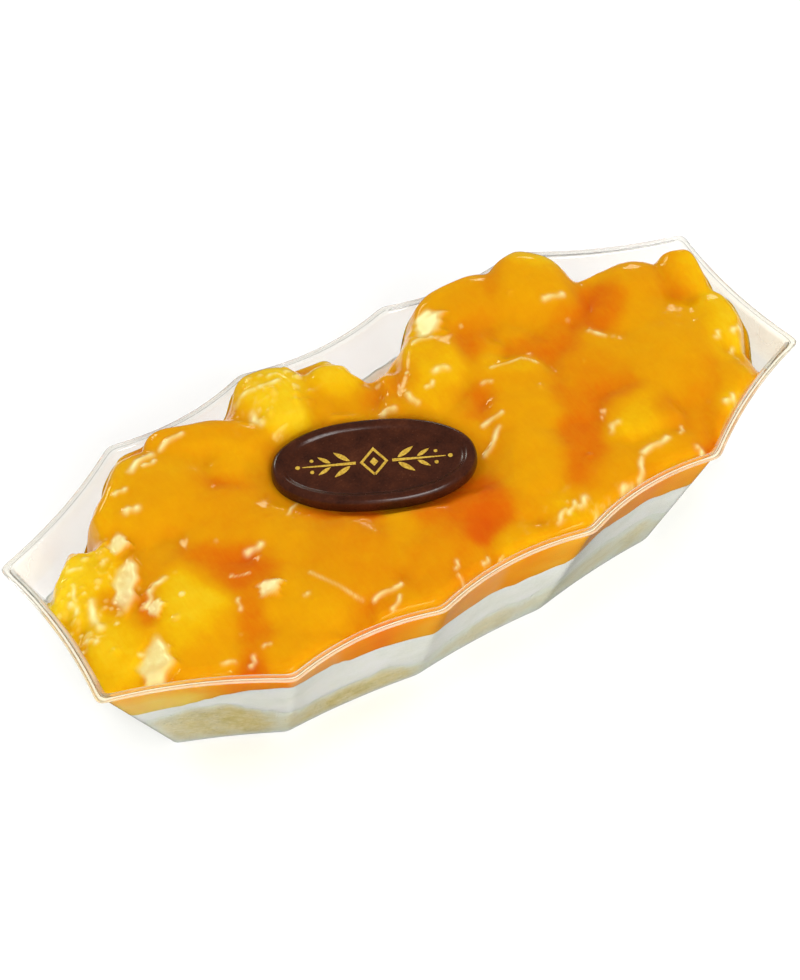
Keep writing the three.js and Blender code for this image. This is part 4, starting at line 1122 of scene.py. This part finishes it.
def build_ornament():
    """A plain gilt ornament: a lozenge with tapering strokes, leaves and dots, printed in the hollow."""
    verts, faces = [], []
    z0 = PLAQUE_T / 2 - 0.9

    def patch(points):
        """A flat figure raised a hair above the hollow, from points round its edge."""
        pts = np.asarray(points, float)
        mid = pts.mean(0)
        n, base = len(pts), len(verts)
        for w, grow in ((z0 - 0.12, 1.0), (z0 + 0.05, 1.0), (z0 + 0.09, 0.86)):
            q = mid + (pts - mid) * grow
            for p in q:
                verts.append((p[0], p[1], w))
        verts.append((mid[0], mid[1], z0 - 0.12))
        verts.append((mid[0], mid[1], z0 + 0.09))
        for i in range(n):
            j = (i + 1) % n
            for r in (0, 1):
                faces.append((base + r * n + i, base + r * n + j, base + (r + 1) * n + j, base + (r + 1) * n + i))
            faces.append((base + 3 * n, base + j, base + i))
            faces.append((base + 3 * n + 1, base + 2 * n + i, base + 2 * n + j))

    def leaf(x, y, length, width, turn):
        a = math.radians(turn)
        t = np.linspace(0, 1, 14)
        half = width / 2 * np.sin(math.pi * t) ** 0.8 * (1 - 0.35 * t)
        up = np.column_stack((t * length, half))
        down = np.column_stack((t[::-1] * length, -half[::-1]))[1:-1]
        p = np.vstack((up, down))
        patch(np.column_stack((x + p[:, 0] * math.cos(a) - p[:, 1] * math.sin(a),
                               y + p[:, 0] * math.sin(a) + p[:, 1] * math.cos(a))))

    def stroke(x0, y0, x1, y1, thick, sag):
        t = np.linspace(0, 1, 18)
        cx = x0 + (x1 - x0) * t
        cy = y0 + (y1 - y0) * t + sag * np.sin(math.pi * t)
        half = thick / 2 * (1 - 0.75 * t)
        patch(np.vstack((np.column_stack((cx, cy + half)), np.column_stack((cx[::-1], cy[::-1] - half[::-1])))))

    def dot(x, y, r):
        t = np.linspace(0, 2 * math.pi, 15)[:-1]
        patch(np.column_stack((x + r * np.cos(t), y + r * np.sin(t))))

    # lozenge with an open middle, made of four bars
    for sx in (-1, 1):
        for sy in (-1, 1):
            patch([(sx * 2.5, 0), (0, sy * 3.3), (0, sy * 2.55), (sx * 1.9, 0)][::sx * sy])
    patch([(-0.75, 0), (0, -0.95), (0.75, 0), (0, 0.95)])
    for s in (-1, 1):
        stroke(s * 3.2, 0.0, s * 12.6, 0.0, 0.62, 0.0)
        leaf(s * 4.2, 0.55, 3.6, 1.15, 90 - s * 52)
        leaf(s * 4.2, -0.55, 3.6, 1.15, -90 + s * 52)
        leaf(s * 7.6, 0.45, 2.7, 0.9, 90 - s * 55)
        leaf(s * 7.6, -0.45, 2.7, 0.9, -90 + s * 55)
        dot(s * 10.9, 1.25, 0.36)
        dot(s * 10.9, -1.25, 0.36)
        dot(s * 13.4, 0.0, 0.42)
    v = np.array(verts)
    return new_mesh("gold_ornament", plaque_point(v[:, 0], v[:, 1], v[:, 2]), faces, smooth=False)


def gold_material():
    g = Nodes("gold_print")
    v = g.coords()
    fine = g.noise(v, 3.0, 3.0, 0.6)
    color = g.ramp(fine, [(0.35, srgb(196, 150, 44)), (0.55, srgb(228, 186, 66)), (0.7, srgb(240, 206, 92))])
    p = g.principled(Base_Color=color, Roughness=g.range(fine, 0.3, 0.7, 0.35, 0.5),
                     Normal=g.bump(fine, 0.2, 0.0002))
    p.inputs["Metallic"].default_value = 0.35
    return g.finish(p.outputs[0])


ornament = build_ornament()
ornament.data.materials.append(gold_material())
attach(ornament, "root")

# ------------------------------------------------------- floor and lights ---
bpy.ops.mesh.primitive_plane_add(size=6.0, location=(0, 0, -0.0002))
floor = bpy.context.object
floor.name = "floor"
g = Nodes("pale_floor")
p = g.principled()
p.inputs["Base Color"].default_value = (0.95, 0.95, 0.95, 1)
p.inputs["Roughness"].default_value = 0.9
p.inputs["Specular IOR Level"].default_value = 0.0
# the floor is dimmer where the plastic mirrors it
shade = g.add("ShaderNodeBsdfDiffuse")
across = g.add("ShaderNodeSeparateXYZ")
g.tree.links.new(g.coords(1.0), across.inputs[0])
shade_color = g.range(across.outputs["Y"], -0.03, 0.05, 0.03, 0.14)
g.put(shade.inputs["Color"], shade_color)
ray = g.add("ShaderNodeLightPath")
mirrored = g.math("MULTIPLY", ray.outputs["Is Glossy Ray"], g.math("SUBTRACT", 1.0, ray.outputs["Is Transmission Ray"]))
both_floors = g.add("ShaderNodeMixShader")
g.put(both_floors.inputs[0], mirrored)
g.tree.links.new(p.outputs[0], both_floors.inputs[1])
g.tree.links.new(shade.outputs[0], both_floors.inputs[2])
floor.data.materials.append(g.finish(both_floors.outputs[0]))

# A white room that lights evenly from all round, but is dim where the wet
# glaze mirrors it, with small windows that make the bright spots.
world = bpy.data.worlds.new("studio")
bpy.context.scene.world = world
world.use_nodes = True
wt = world.node_tree
back = wt.nodes["Background"]
back.inputs[0].default_value = (1, 1, 1, 1)
path = wt.nodes.new("ShaderNodeLightPath")
inv = wt.nodes.new("ShaderNodeMath")
inv.operation = "SUBTRACT"
inv.inputs[0].default_value = 1.0
wt.links.new(path.outputs["Is Transmission Ray"], inv.inputs[1])
both = wt.nodes.new("ShaderNodeMath")
both.operation = "MULTIPLY"
wt.links.new(path.outputs["Is Glossy Ray"], both.inputs[0])
wt.links.new(inv.outputs[0], both.inputs[1])
level = wt.nodes.new("ShaderNodeMapRange")
wt.links.new(both.outputs[0], level.inputs[0])
level.inputs[3].default_value = 1.0
level.inputs[4].default_value = 0.13
wt.links.new(level.outputs[0], back.inputs[1])


def area(name, toward, distance, size, radiance, target=(0, 0, 0.034), color=(1, 1, 1)):
    """A window seen from the cup in the direction toward, with its brightness as radiance."""
    d = bpy.data.lights.new(name, "AREA")
    d.shape = "RECTANGLE"
    d.size, d.size_y = size
    d.energy = radiance * math.pi * size[0] * size[1]
    d.color = color
    o = bpy.data.objects.new(name, d)
    bpy.context.scene.collection.objects.link(o)
    t = Vector(toward).normalized()
    o.location = Vector(target) + t * distance
    o.rotation_euler = (-t).to_track_quat("-Z", "Y").to_euler()
    return o


area("window_left", (-0.16, 0.90, 0.40), 1.3, (0.30, 0.26), 11.0, color=(0.97, 1.0, 0.90))
area("window_right", (0.62, 0.72, 0.30), 1.3, (0.16, 0.14), 8.0, color=(0.98, 1.0, 0.92))
area("front", (-0.12, -0.8, 0.55), 1.3, (0.6, 0.45), 10.6)
area("front_low", (-0.2, -0.95, 0.2), 1.3, (0.9, 0.24), 2.0)

scene = bpy.context.scene
scene.view_settings.view_transform = "Standard"
scene.view_settings.look = "None"
scene.cycles.use_denoising = True
scene.cycles.max_bounces = 14
scene.cycles.transmission_bounces = 12
scene.cycles.transparent_max_bounces = 12
scene.cycles.caustics_refractive = True
scene.cycles.caustics_reflective = False
